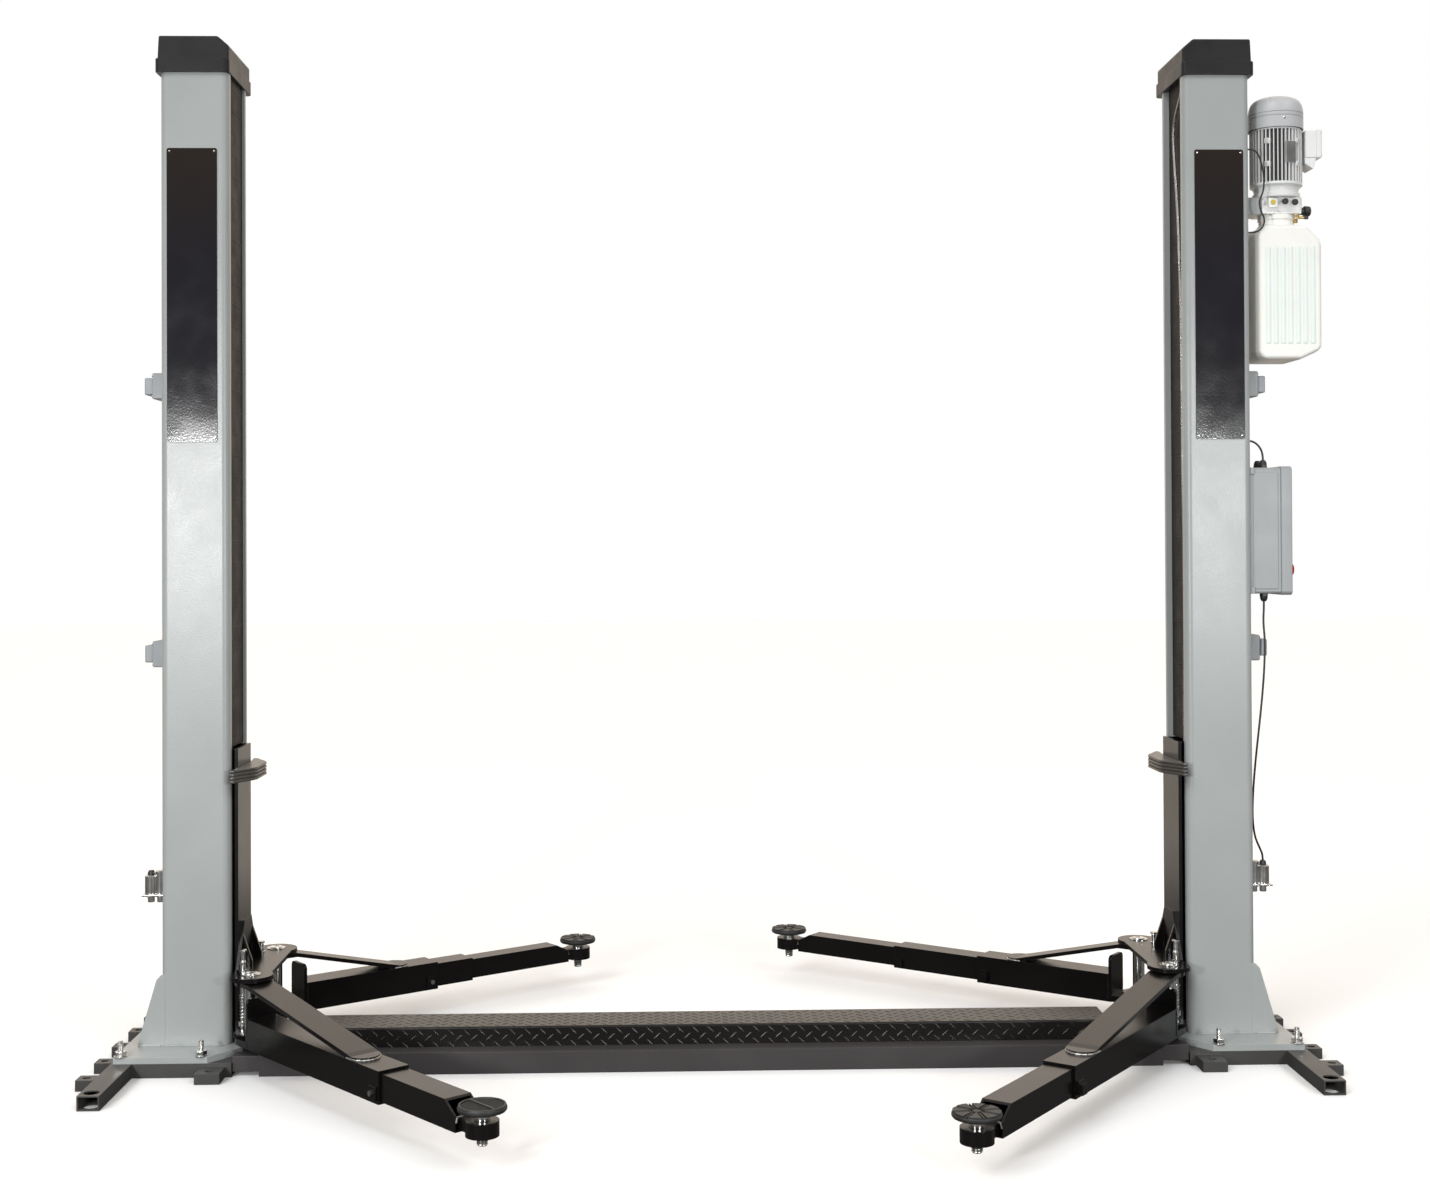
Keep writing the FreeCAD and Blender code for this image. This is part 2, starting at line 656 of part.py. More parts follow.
def curtain():
    x0 = IN_X + CURTAIN_INSET
    return box(x0, x0 + CURTAIN_T, -CURTAIN_HALF, CURTAIN_HALF, CARRIAGE_TOP + CURTAIN_GAP, COLUMN_TOP)


# Carriages
def clevis_outline(back_x, waist_x):
    """Plan of a clevis plate: two round lobes, joined by a narrower waist."""
    lobes = []
    for y in (-PIVOT_Y, PIVOT_Y):
        lobes.append(cylinder(PIVOT_X, y, 0, 1, CLEVIS_LOBE_R))
    reach = PIVOT_Y + CLEVIS_LOBE_R * CLEVIS_LOBE_SHARE
    neck_x, hollow_x = PIVOT_X + CLEVIS_NECK_X, PIVOT_X - CLEVIS_HOLLOW_X
    hollow_y = PIVOT_Y - CLEVIS_HOLLOW_Y
    points = [(back_x, -CLEVIS_BACK_HALF), (neck_x, -reach), (hollow_x, -hollow_y),
              (waist_x, -CLEVIS_WAIST_HALF), (waist_x, CLEVIS_WAIST_HALF), (hollow_x, hollow_y),
              (neck_x, reach), (back_x, CLEVIS_BACK_HALF)]
    return fused([prism_z(points, 0, 1)] + lobes)


def clevis_plate(z0, thickness, rod_clearance):
    outline = clevis_outline(CARRIAGE_PANEL_X, CLEVIS_WAIST_X)
    low = [f for f in outline.Faces if f.BoundBox.ZMax < TINY]
    solid = low[0].extrude(Vector(0, 0, thickness))
    solid.translate(Vector(0, 0, z0))
    for sign in (-1, 1):
        solid = solid.cut(cylinder(PIVOT_X, sign * PIVOT_Y, z0 - 1, z0 + thickness + 1, PIN_R + PIN_CLEARANCE))
        solid = solid.cut(cylinder(LOCK_X, sign * LOCK_Y, z0 - 1, z0 + thickness + 1,
                                   LOCK_ROD_R + rod_clearance))
    return solid


def carriage():
    back, half = CARRIAGE_BOX_BACK, CARRIAGE_BOX_HALF
    front = CARRIAGE_PANEL_X + CARRIAGE_WALL
    panel = box(CARRIAGE_PANEL_X, front, -CARRIAGE_PANEL_HALF, CARRIAGE_PANEL_HALF,
                CLEVIS_BOTTOM_Z, CARRIAGE_TOP)
    outer = box(front, back, -half, half, CLEVIS_BOTTOM_Z, CARRIAGE_TOP)
    inner = box(front, back - CARRIAGE_WALL, -half + CARRIAGE_WALL, half - CARRIAGE_WALL,
                CLEVIS_BOTTOM_Z - 1, CARRIAGE_TOP + 1)
    return fused([panel, outer.cut(inner), saddle()])


def saddle():
    low = CLEVIS_TOP
    x0 = CARRIAGE_PANEL_X - SADDLE_T
    points = [(-SADDLE_BASE_HALF, low), (SADDLE_BASE_HALF, low), (SADDLE_TOP_HALF, SADDLE_TOP),
              (-SADDLE_TOP_HALF, SADDLE_TOP)]
    plate = prism_x(points, x0, CARRIAGE_PANEL_X)
    plate = plate.cut(box(x0 - 1, CARRIAGE_PANEL_X + 1, -SADDLE_WINDOW_HALF, SADDLE_WINDOW_HALF,
                          low, low + SADDLE_WINDOW_H))
    rib_x = x0 - SADDLE_RIB_REACH
    rib_points = [(x0, low), (rib_x, low), (rib_x, low + SADDLE_RIB_FOOT), (x0, low + SADDLE_RIB_H)]
    rib = prism_y(rib_points, -SADDLE_RIB_Y, -SADDLE_RIB_Y + SADDLE_RIB_T)
    return fused([plate] + front_and_rear(rib))


def slide_block():
    """Low-friction block between the carriage and the column's front or rear wall."""
    x0, x1 = IN_X + RETURN_DEPTH + FIT_GAP, OUT_X - COLUMN_WALL - FIT_GAP
    y0, y1 = CARRIAGE_BOX_HALF, HALF_D - COLUMN_WALL - FIT_GAP
    cut = COLUMN_RADIUS - COLUMN_WALL
    points = [(x0, y0), (x1, y0), (x1, y1 - cut), (x1 - cut, y1), (x0 + cut, y1), (x0, y1 - cut)]
    return prism_z(points, 0, SLIDE_BLOCK_H)


def slide_blocks():
    blocks = []
    for z in (CLEVIS_BOTTOM_Z + SLIDE_FOOT_GAP, CARRIAGE_TOP - SLIDE_BLOCK_H - SLIDE_TOP_GAP):
        block = slide_block()
        block.translate(Vector(0, 0, z))
        blocks += front_and_rear(block)
    return blocks


def pivot_pin(y):
    top = CLEVIS_TOP
    shank = cylinder(PIVOT_X, y, CLEVIS_BOTTOM_Z - PIN_FOOT, top + PIN_HEAD_T, PIN_R)
    head = cylinder(PIVOT_X, y, top, top + PIN_HEAD_T, PIN_HEAD_R)
    return fused([shank, head])


def door_bumper():
    x = CARRIAGE_PANEL_X
    pitch = BUMPER_H / BUMPER_RIBS
    ribs = []
    for k in range(BUMPER_RIBS):
        z0 = BUMPER_Z + k * pitch
        middle = z0 + pitch / 2
        groove = bumper_slice(z0, middle, BUMPER_REACH - BUMPER_GROOVE)
        ribs += [groove, bumper_slice(middle, z0 + pitch, BUMPER_REACH)]
    back = box(x - BUMPER_BACK_T, x, -CARRIAGE_PANEL_HALF, CARRIAGE_PANEL_HALF,
               BUMPER_Z, BUMPER_Z + BUMPER_H)
    return fused(ribs + [back])


def bumper_slice(z0, z1, reach):
    x = CARRIAGE_PANEL_X
    knee_x = x - reach * BUMPER_KNEE_SHARE
    front = [(x, -CARRIAGE_PANEL_HALF), (x + BUMPER_TIP, -BUMPER_HALF), (x - BUMPER_TIP, -BUMPER_HALF),
             (knee_x, -BUMPER_KNEE_HALF), (x - reach, -BUMPER_FLAT_HALF)]
    points = front + [(x, -y) for x, y in reversed(front)]
    return prism_z(points, z0, z1)


# Arm locks
def arm_lock(sign, top_z, arm_angle, side):
    """Rod with a bottle-shaped handle and a toothed pawl at its foot."""
    y = sign * LOCK_Y
    foot = ARM_Z + ARM_EYE_T + GEAR_T + LOCK_GAP
    shoulder_z = CLEVIS_TOP + LOCK_SHOULDER_Z
    rod = cylinder(LOCK_X, y, foot - LOCK_FOOT, shoulder_z, LOCK_ROD_R)
    shoulder = cone(LOCK_X, y, shoulder_z, shoulder_z + LOCK_SHOULDER_H, LOCK_ROD_R, LOCK_NECK_R)
    neck = cylinder(LOCK_X, y, shoulder_z, top_z, LOCK_NECK_R)
    head = cylinder(LOCK_X, y, top_z - LOCK_HEAD_H, top_z, LOCK_HEAD_R)
    return fused([rod, shoulder, neck, head, pawl(sign, arm_angle, side, foot)])


def pawl(sign, arm_angle, side, z0):
    outer = cylinder(LOCK_X, sign * LOCK_Y, z0, z0 + GEAR_T, PAWL_R)
    teeth = gear_blank(GEAR_R + PAWL_GAP, z0 - 1, z0 + GEAR_T + 1, PAWL_SPREAD)
    teeth.rotate(Vector(0, 0, 0), Vector(0, 0, 1), right_hand_angle(arm_angle, side))
    teeth.translate(Vector(PIVOT_X, sign * PIVOT_Y, 0))
    return outer.cut(teeth)


def right_hand_angle(angle, side):
    """The swing as drawn on the right side, before any mirroring."""
    return angle if side > 0 else 180 - angle


def gear_blank(radius, z0, z1, spread):
    """Disc with pointed teeth all round; spread widens each tooth."""
    root = radius - GEAR_DEPTH
    pitch = 360.0 / GEAR_TEETH
    tip = TOOTH_TIP_SHARE + TOOTH_TIP_GROWTH * spread
    foot = TOOTH_FOOT_SHARE + TOOTH_FOOT_GROWTH * spread
    points = []
    for k in range(GEAR_TEETH):
        for share, r in ((-foot, root), (-tip, radius), (tip, radius), (foot, root)):
            a = math.radians((k + share) * pitch)
            points.append((r * math.cos(a), r * math.sin(a)))
    return prism_z(points, z0, z1)


# Arms are drawn along +X from their pivot and then placed
def rounded_plate(x0, x1, half, radius, z0, z1):
    body = box(0, x1, -half, half, z0, z1)
    return body.fuse(cylinder(0, 0, z0, z1, radius))


def arm_outer(head_x, end_x, strap_end):
    top = ARM_Z + ARM_H
    tube = tube_x(head_x, end_x, -ARM_W / 2, ARM_W / 2, ARM_Z, top, ARM_WALL)
    lower = rounded_plate(0, head_x, ARM_EYE_R, ARM_EYE_R, ARM_Z + 1, ARM_Z + ARM_EYE_T)
    gear = gear_blank(GEAR_R, ARM_Z + ARM_EYE_T, ARM_Z + ARM_EYE_T + GEAR_T, 0)
    plate = box(head_x - HEAD_PLATE_T, head_x, -ARM_W / 2, ARM_W / 2, ARM_Z, ARM_Z + HEAD_PLATE_H)
    plate = round_top_corners(plate, HEAD_CORNER)
    arm = fused([tube, lower, gear, plate, strap(head_x, strap_end, top)])
    bore = cylinder(0, 0, ARM_Z - 1, STRAP_Z + STRAP_T + 1, PIN_R + PIN_CLEARANCE)
    stop_x, stop_z = end_x - STOP_INSET, ARM_Z + STOP_LIFT
    stop = box(stop_x - STOP_LENGTH, stop_x, ARM_W / 2, ARM_W / 2 + STOP_BLOCK, stop_z, stop_z + STOP_H)
    return fused([arm.cut(bore), stop])


def round_top_corners(plate, radius):
    top = plate.BoundBox.ZMax
    edges = []
    for edge in plate.Edges:
        start, end = edge.Vertexes[0].Point, edge.Vertexes[-1].Point
        along_x = abs(start.y - end.y) < TINY and abs(start.z - end.z) < TINY
        if along_x and abs(start.z - top) < TINY:
            edges.append(edge)
    return plate.makeFillet(radius, edges)


def strap(head_x, strap_end, tube_top):
    """Flat bar from the upper eye down to the top of the tube."""
    bend = ARM_EYE_R + STRAP_BEND
    round_x = strap_end - STRAP_W / 2
    flat = round_x - STRAP_FOOT
    thin = tube_top + STRAP_T * STRAP_END_SHARE
    points = [(0, STRAP_Z), (bend, STRAP_Z), (flat, tube_top), (round_x, tube_top), (round_x, thin),
              (flat, tube_top + STRAP_T), (bend, STRAP_Z + STRAP_T), (0, STRAP_Z + STRAP_T)]
    bar = prism_y(points, -STRAP_W / 2, STRAP_W / 2)
    eye = cylinder(0, 0, STRAP_Z, STRAP_Z + STRAP_T, ARM_EYE_R)
    tongue = cylinder(round_x, 0, tube_top, thin, STRAP_W / 2)
    return bar.fuse([eye, tongue])


def inner_stage(length, reach, width, height, z0, wall, eye):
    """Telescopic stage whose far end lies at reach, with or without the pad's eye."""
    tube_end = reach - EYE_REACH if eye else reach
    start = reach - length
    tube = tube_x(start, tube_end, -width / 2, width / 2, z0, z0 + height, wall)
    if not eye:
        stop_x, stop_z = reach - MID_STOP_INSET, z0 + MID_STOP_LIFT
        stop = box(stop_x - MID_STOP_LENGTH, stop_x, width / 2, width / 2 + MID_STOP_BLOCK,
                   stop_z, stop_z + MID_STOP_H)
        return tube.fuse(stop).removeSplitter()
    slope_x = tube_end - EYE_SLOPE
    slope = prism_y([(slope_x, z0 + height), (tube_end + 1, z0 + ARM_EYE_OUT_H),
                     (tube_end + 1, z0 + height + 1), (slope_x, z0 + height + 1)], -width, width)
    half = width * EYE_NECK_SHARE
    neck = box(tube_end - EYE_NECK, reach, -half, half, z0 + wall, z0 + ARM_EYE_OUT_H)
    ring = cylinder(reach, 0, z0, z0 + ARM_EYE_OUT_H, ARM_EYE_OUT_R)
    bore = cylinder(reach, 0, z0 - 1, z0 + ARM_EYE_OUT_H + 1, SPINDLE_R + PIN_CLEARANCE)
    return fused([tube.cut(slope), neck, ring]).cut(bore)


def stage_size(width, height, z0, wall):
    """Outside of the next stage in a tube with this bore."""
    gap = wall + TELESCOPE_GAP
    return width - 2 * gap, height - 2 * gap, z0 + gap


def pad(reach):
    disc = cylinder(reach, 0, PAD_SEAT, PAD_TOP, PAD_R)
    for k in range(PAD_GROOVES):
        groove = box(-PAD_R, PAD_R, -PAD_GROOVE / 2, PAD_GROOVE / 2, PAD_TOP - PAD_GROOVE, PAD_TOP + 1)
        groove.rotate(Vector(0, 0, 0), Vector(0, 0, 1), 180 / PAD_GROOVES * k)
        groove.translate(Vector(reach, 0, 0))
        disc = disc.cut(groove)
    return disc


def spindle(reach, eye_top):
    cup = cone(reach, 0, eye_top + FIT_GAP, PAD_SEAT, PAD_CUP_BASE_R, PAD_CUP_R)
    return fused([cylinder(reach, 0, SPINDLE_BOTTOM, PAD_SEAT, SPINDLE_R), cup])


def place_arm(shape, pivot_x, pivot_y, angle):
    placed = shape.copy()
    placed.rotate(Vector(0, 0, 0), Vector(0, 0, 1), angle)
    placed.translate(Vector(pivot_x, pivot_y, 0))
    return placed


# Power unit
def motor_body():
    core = cylinder(UNIT_X, UNIT_Y, MOTOR_BOTTOM, MOTOR_TOP, MOTOR_CORE_R)
    fins = []
    for k in range(MOTOR_FINS):
        fin = box(0, MOTOR_R, -FIN_T / 2, FIN_T / 2, MOTOR_BOTTOM, MOTOR_TOP - 1)
        fin.rotate(Vector(0, 0, 0), Vector(0, 0, 1), 360 / MOTOR_FINS * k)
        fin.translate(Vector(UNIT_X, UNIT_Y, 0))
        fins.append(fin)
    bell = cone(UNIT_X, UNIT_Y, BELL_BOTTOM, MOTOR_BOTTOM, BELL_FOOT_R, MOTOR_R)
    return fused([core, bell] + fins)


def fan_cowl():
    shell = cylinder(UNIT_X, UNIT_Y, MOTOR_TOP, COWL_TOP, COWL_R)
    crown = [e for e in shell.Edges if e.BoundBox.ZMin > COWL_TOP - 1]
    shell = shell.makeFillet(COWL_CROWN, crown)
    inside = cylinder(UNIT_X, UNIT_Y, MOTOR_TOP + COWL_WALL, COWL_TOP - COWL_CROWN, COWL_R - COWL_WALL)
    return shell.cut(inside)


def terminal_box():
    x1 = TERMINAL_X + TERMINAL_REACH
    top = MOTOR_TOP
    low = top - TERMINAL_H
    points = [(TERMINAL_X, top), (x1, top), (x1, low), (x1 - TERMINAL_TOE, low),
              (x1 - TERMINAL_HEEL, low - TERMINAL_FOOT), (TERMINAL_X, low - TERMINAL_BACK_FOOT)]
    return prism_y(points, UNIT_Y - TERMINAL_HALF, UNIT_Y + TERMINAL_HALF)


def valve_block():
    block = box(UNIT_X - VALVE_HALF, UNIT_X + VALVE_HALF, UNIT_Y - VALVE_DEPTH, UNIT_Y + VALVE_DEPTH,
                VALVE_BOTTOM, BELL_BOTTOM)
    knob = Part.makeCylinder(KNOB_R, KNOB_REACH, Vector(UNIT_X + VALVE_HALF, UNIT_Y, VALVE_BOTTOM + KNOB_R),
                             Vector(1, 0, 0))
    return fused([block, knob])


def oil_tank():
    x0, x1 = UNIT_X - TANK_INNER, UNIT_X + TANK_OUTER
    low, top = TANK_BOTTOM, TANK_TOP
    points = [(x0 + TANK_CORNER, low), (x1 - 2 * TANK_FOOT, low), (x1, low + TANK_FOOT),
              (x1, top - TANK_SHOULDER), (x1 - TANK_SHOULDER, top), (x0 + TANK_CORNER, top),
              (x0, top - TANK_CORNER), (x0, low + TANK_CORNER)]
    y0, y1 = UNIT_Y - TANK_HALF_Y, UNIT_Y + TANK_HALF_Y
    body = fillet_upright(box(x0, x1, y0, y1, low, top), TANK_CORNER).common(prism_y(points, y0, y1))
    neck = cylinder(UNIT_X, UNIT_Y, TANK_TOP, VALVE_BOTTOM, NECK_R)
    return fused([body, neck])


def unit_bracket():
    x1 = UNIT_X - VALVE_HALF
    back = box(OUT_X, OUT_X + BRACKET_T, UNIT_Y - BRACKET_HALF, UNIT_Y + BRACKET_HALF,
               VALVE_BOTTOM - BRACKET_SIDE, BELL_BOTTOM + BRACKET_SIDE)
    arm = box(OUT_X, x1, UNIT_Y - BRACKET_HALF + BRACKET_SIDE, UNIT_Y + BRACKET_HALF - BRACKET_SIDE,
              VALVE_BOTTOM, BELL_BOTTOM)
    return fused([back, arm])


# Cords
def cord(points, radius):
    """Tube along straight runs joined by tangent arcs."""
    corners = [Vector(*p) for p in points]
    edges = []
    tightest = None
    last = corners[0]
    for before, corner, after in zip(corners, corners[1:], corners[2:]):
        ahead = (corner - before).normalize()
        onward = (after - corner).normalize()
        half_turn = ahead.getAngle(onward) / 2
        tangent = TANGENT_SHARE * min((corner - before).Length, (after - corner).Length)
        bend = tangent / math.tan(half_turn)
        tightest = bend if tightest is None else min(bend, tightest)
        start, end = corner - ahead * tangent, corner + onward * tangent
        inward = (onward - ahead).normalize()
        middle = corner + inward * (bend / math.cos(half_turn) - bend)
        edges += [Part.LineSegment(last, start).toShape(), Part.Arc(start, middle, end).toShape()]
        last = end
    edges.append(Part.LineSegment(last, corners[-1]).toShape())
    path = Part.Wire(edges)
    ring = Part.Wire(Part.makeCircle(radius, corners[0], corners[1] - corners[0]))
    tube = path.makePipeShell([ring], True, False)
    print("cord of", round(path.Length), "mm, tightest bend", round(tightest), "mm, volume ratio",
          round(tube.Volume / (path.Length * math.pi * radius ** 2), 3))
    return tube


# Control box
def control_box():
    x0, x1 = OUT_X, OUT_X + BOX_DEPTH
    body = box(x0, x1, -BOX_WIDTH / 2, BOX_WIDTH / 2, BOX_BOTTOM, BOX_BOTTOM + BOX_HEIGHT)
    lid = box(x1, x1 + BOX_LID_T, -BOX_WIDTH / 2 - BOX_LID_EDGE, BOX_WIDTH / 2 + BOX_LID_EDGE,
              BOX_BOTTOM - BOX_LID_EDGE, BOX_BOTTOM + BOX_HEIGHT + BOX_LID_EDGE)
    inside = box(x0 + BOX_WALL, x1 + BOX_LID_T - BOX_WALL, -BOX_WIDTH / 2 + BOX_WALL,
                 BOX_WIDTH / 2 - BOX_WALL, BOX_BOTTOM + BOX_WALL, BOX_BOTTOM + BOX_HEIGHT - BOX_WALL)
    shell = fused([body, lid]).cut(inside)
    top = BOX_BOTTOM + BOX_HEIGHT
    for y in GLAND_PLACES:
        shell = shell.cut(cylinder(GLAND_X, y, top - BOX_WALL - 1, top + 1, GLAND_R / 2))
    hole_r = BUTTON_STEM_R + BUTTON_FIT
    hole_start = Vector(x1 + 1, BUTTON_Y, BOX_BOTTOM + BUTTON_LIFT)
    hole = Part.makeCylinder(hole_r, BOX_LID_T, hole_start, Vector(1, 0, 0))
    return shell.cut(hole)


def stop_button():
    face = OUT_X + BOX_DEPTH + BOX_LID_T
    z = BOX_BOTTOM + BUTTON_LIFT
    head_x = face + BUTTON_TRAVEL + BUTTON_STEM_REACH
    stem_x = face - BOX_WALL
    stem = Part.makeCylinder(BUTTON_STEM_R, head_x - stem_x, Vector(stem_x, BUTTON_Y, z), Vector(1, 0, 0))
    head = Part.makeCylinder(BUTTON_R, BUTTON_T, Vector(head_x, BUTTON_Y, z), Vector(1, 0, 0))
    return fused([stem, head])


def cable_glands():
    top = BOX_BOTTOM + BOX_HEIGHT
    glands = [cylinder(GLAND_X, y, top, top + GLAND_H, GLAND_R) for y in GLAND_PLACES]
    glands.append(cylinder(GLAND_X, GLAND_PLACES[0], BOX_BOTTOM - GLAND_H, BOX_BOTTOM, GLAND_R))
    return glands


def build_fixed_parts():
    for name, side in SIDES.items():
        save("base_frame_" + name, on_side(base_frame(), side))
        save("column_" + name, on_side(column(), side))
        save("column_cap_" + name, on_side(column_cap(), side))
        save("curtain_" + name, on_side(curtain(), side))
    save("cross_rail", cross_rail(), *both(rail_end()))
    save("tread_cover", tread_cover())
    save("base_plates", *both(base_plate()))
    anchors = [anchor_bolt(x, y) for x, y in anchor_places()]
    save("anchor_bolts", *[on_side(a, side) for side in SIDES.values() for a in anchors])
    save("name_panels", *both(name_panel()))
    blocks = [cover_block(drop) for drop in COVER_BLOCK_DROPS]
    save("cover_blocks", *both(blocks[0]), *both(blocks[1]))
    save("lock_solenoids", *both(lock_solenoid()))
    save("sync_ropes", *sync_ropes())
    save("motor_cable", cord(MOTOR_CABLE_ROUTE, MOTOR_CABLE_R))
    save("feed_cable", cord(FEED_CABLE_ROUTE, FEED_CABLE_R))
    save("control_cable", cord(CONTROL_CABLE_ROUTE, CONTROL_CABLE_R))
    save("motor_body", motor_body())
    save("fan_cowl", fan_cowl())
    save("terminal_box", terminal_box())
    save("valve_block", valve_block())
    save("oil_tank", oil_tank())
    save("unit_bracket", unit_bracket())
    save("control_box", control_box())
    save("stop_button", stop_button())
    save("cable_glands", *cable_glands())


def build_carriage(name, side):
    save("carriage_" + name, on_side(carriage(), side))
    save("clevis_plates_" + name,
         on_side(clevis_plate(CLEVIS_BOTTOM_Z, CLEVIS_BOTTOM_T, 1.0), side),
         on_side(clevis_plate(CLEVIS_TOP_Z, CLEVIS_TOP_T, PIN_CLEARANCE), side))
    save("slide_blocks_" + name, *[on_side(b, side) for b in slide_blocks()])
    save("pivot_pins_" + name, *[on_side(pivot_pin(y), side) for y in (-PIVOT_Y, PIVOT_Y)])
    save("door_bumper_" + name, on_side(door_bumper(), side))


def build_front_arm(name, side, angle, reach):
    def at(shape):
        return place_arm(shape, side * PIVOT_X, -PIVOT_Y, angle)

    width, height, z0 = stage_size(ARM_W, ARM_H, ARM_Z, ARM_WALL)
    save("arm_outer_front_" + name, at(arm_outer(FRONT_HEAD_X, FRONT_OUTER_END, FRONT_STRAP_END)))
    stage = inner_stage(FRONT_INNER_LENGTH, reach, width, height, z0, INNER_WALL, True)
    save("arm_inner_front_" + name, at(stage))
    save("pad_spindle_front_" + name, at(spindle(reach, EYE_TOP_FRONT)))
    save("pad_front_" + name, at(pad(reach)))
    save("arm_lock_front_" + name, on_side(arm_lock(-1, LOCK_TOP_FRONT, angle, side), side))


def build_rear_arm(name, side, angle, reach, mid_end):
    def at(shape):
        return place_arm(shape, side * PIVOT_X, PIVOT_Y, angle)

    width, height, z0 = stage_size(ARM_W, ARM_H, ARM_Z, ARM_WALL)
    save("arm_outer_rear_" + name, at(arm_outer(REAR_HEAD_X, REAR_OUTER_END, REAR_STRAP_END)))
    save("arm_mid_rear_" + name, at(inner_stage(MID_LENGTH, mid_end, width, height, z0, INNER_WALL, False)))
    width, height, z0 = stage_size(width, height, z0, INNER_WALL)
    save("arm_inner_rear_" + name,
         at(inner_stage(THIRD_LENGTH, reach, width, height, z0, INNER_WALL, True)))
    save("pad_spindle_rear_" + name, at(spindle(reach, EYE_TOP_REAR)))
    save("pad_rear_" + name, at(pad(reach)))
    save("arm_lock_rear_" + name, on_side(arm_lock(1, LOCK_TOP_REAR, angle, side), side))


build_fixed_parts()
for side_name, side_sign in SIDES.items():
    build_carriage(side_name, side_sign)
build_front_arm("left", -1, FRONT_LEFT_ANGLE, FRONT_LEFT_REACH)
build_front_arm("right", 1, FRONT_RIGHT_ANGLE, FRONT_RIGHT_REACH)
build_rear_arm("left", -1, REAR_LEFT_ANGLE, REAR_LEFT_REACH, REAR_LEFT_MID)
build_rear_arm("right", 1, REAR_RIGHT_ANGLE, REAR_RIGHT_REACH, REAR_RIGHT_MID)
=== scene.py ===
import json
import math

import bmesh
import bpy
from bpy.props import FloatProperty, FloatVectorProperty, PointerProperty
from mathutils import Matrix, Vector
from mathutils.geometry import tessellate_polygon


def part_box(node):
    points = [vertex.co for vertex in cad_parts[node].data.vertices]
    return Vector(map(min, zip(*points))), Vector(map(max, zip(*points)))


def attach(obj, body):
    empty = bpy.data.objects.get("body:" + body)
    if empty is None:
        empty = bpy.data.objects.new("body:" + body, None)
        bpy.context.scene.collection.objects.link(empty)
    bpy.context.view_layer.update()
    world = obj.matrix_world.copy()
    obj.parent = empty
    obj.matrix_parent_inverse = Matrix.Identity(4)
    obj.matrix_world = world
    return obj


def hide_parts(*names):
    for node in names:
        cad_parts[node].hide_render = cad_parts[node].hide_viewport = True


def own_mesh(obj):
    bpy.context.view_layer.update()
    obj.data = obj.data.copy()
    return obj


bl_info = {
    "name": "Two post lift dressing",
    "version": (1, 0, 0),
    "blender": (4, 5, 0),
    "location": "View3D > Sidebar > Lift",
    "description": "Builds the finished look of a two post car lift around its CAD frame",
    "category": "Object",
}

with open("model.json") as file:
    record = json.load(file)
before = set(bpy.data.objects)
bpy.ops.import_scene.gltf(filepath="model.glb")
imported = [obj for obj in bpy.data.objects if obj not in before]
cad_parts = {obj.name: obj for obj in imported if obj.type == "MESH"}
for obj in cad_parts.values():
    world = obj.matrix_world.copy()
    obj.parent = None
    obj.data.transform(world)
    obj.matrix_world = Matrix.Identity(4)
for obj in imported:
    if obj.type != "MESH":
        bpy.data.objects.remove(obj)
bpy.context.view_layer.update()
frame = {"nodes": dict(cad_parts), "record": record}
NODES = frame["nodes"]
RECORD = frame["record"]
SLOT_OF = {part["node"]: part["material_slot"] for part in RECORD["subparts"]}
BODY_OF = {node: body for body, nodes in RECORD["behaviour"]["bodies"].items() for node in nodes}
SIDES = {"left": -1, "right": 1}
MM = 0.001


# Sizes and colours that a user may change
class FinishSettings(bpy.types.PropertyGroup):
    column_colour: FloatVectorProperty(
        name="Column paint", description="Colour of the columns and base plates",
        default=(0.325, 0.345, 0.341), size=3, min=0, max=1, subtype="COLOR")
    arm_colour: FloatVectorProperty(
        name="Arm paint", description="Colour of the arms and carriages",
        default=(0.0042, 0.0036, 0.0034), size=3, min=0, max=1, subtype="COLOR")
    frame_colour: FloatVectorProperty(
        name="Base frame paint", description="Colour of the tubes on the floor",
        default=(0.046, 0.045, 0.043), size=3, min=0, max=1, subtype="COLOR")
    rail_colour: FloatVectorProperty(
        name="Cross rail paint", description="Colour of the rail between the columns",
        default=(0.048, 0.043, 0.044), size=3, min=0, max=1, subtype="COLOR")
    grain: FloatProperty(
        name="Paint grain", description="Height of the fine texture of the paint",
        default=0.00035, min=0, max=0.005, unit="LENGTH")


class StageSettings(bpy.types.PropertyGroup):
    floor_size: FloatProperty(
        name="Floor", description="Width of the pale studio floor",
        default=60.0, min=5, unit="LENGTH")
    floor_colour: FloatVectorProperty(
        name="Floor colour", description="Colour of the studio floor",
        default=(0.93, 0.93, 0.93), size=3, min=0, max=1, subtype="COLOR")
    key: FloatProperty(
        name="Key light", description="Strength of the broad light from the left", default=1.5, min=0)
    fill: FloatProperty(
        name="Fill light", description="Strength of the broad light from the right", default=0.75, min=0)
    sky: FloatProperty(
        name="Sky", description="Strength of the light from all round", default=0.5, min=0)
    screen: FloatProperty(
        name="Screens", description="Power of the soft screens beside the camera", default=155.0, min=0, unit="POWER")


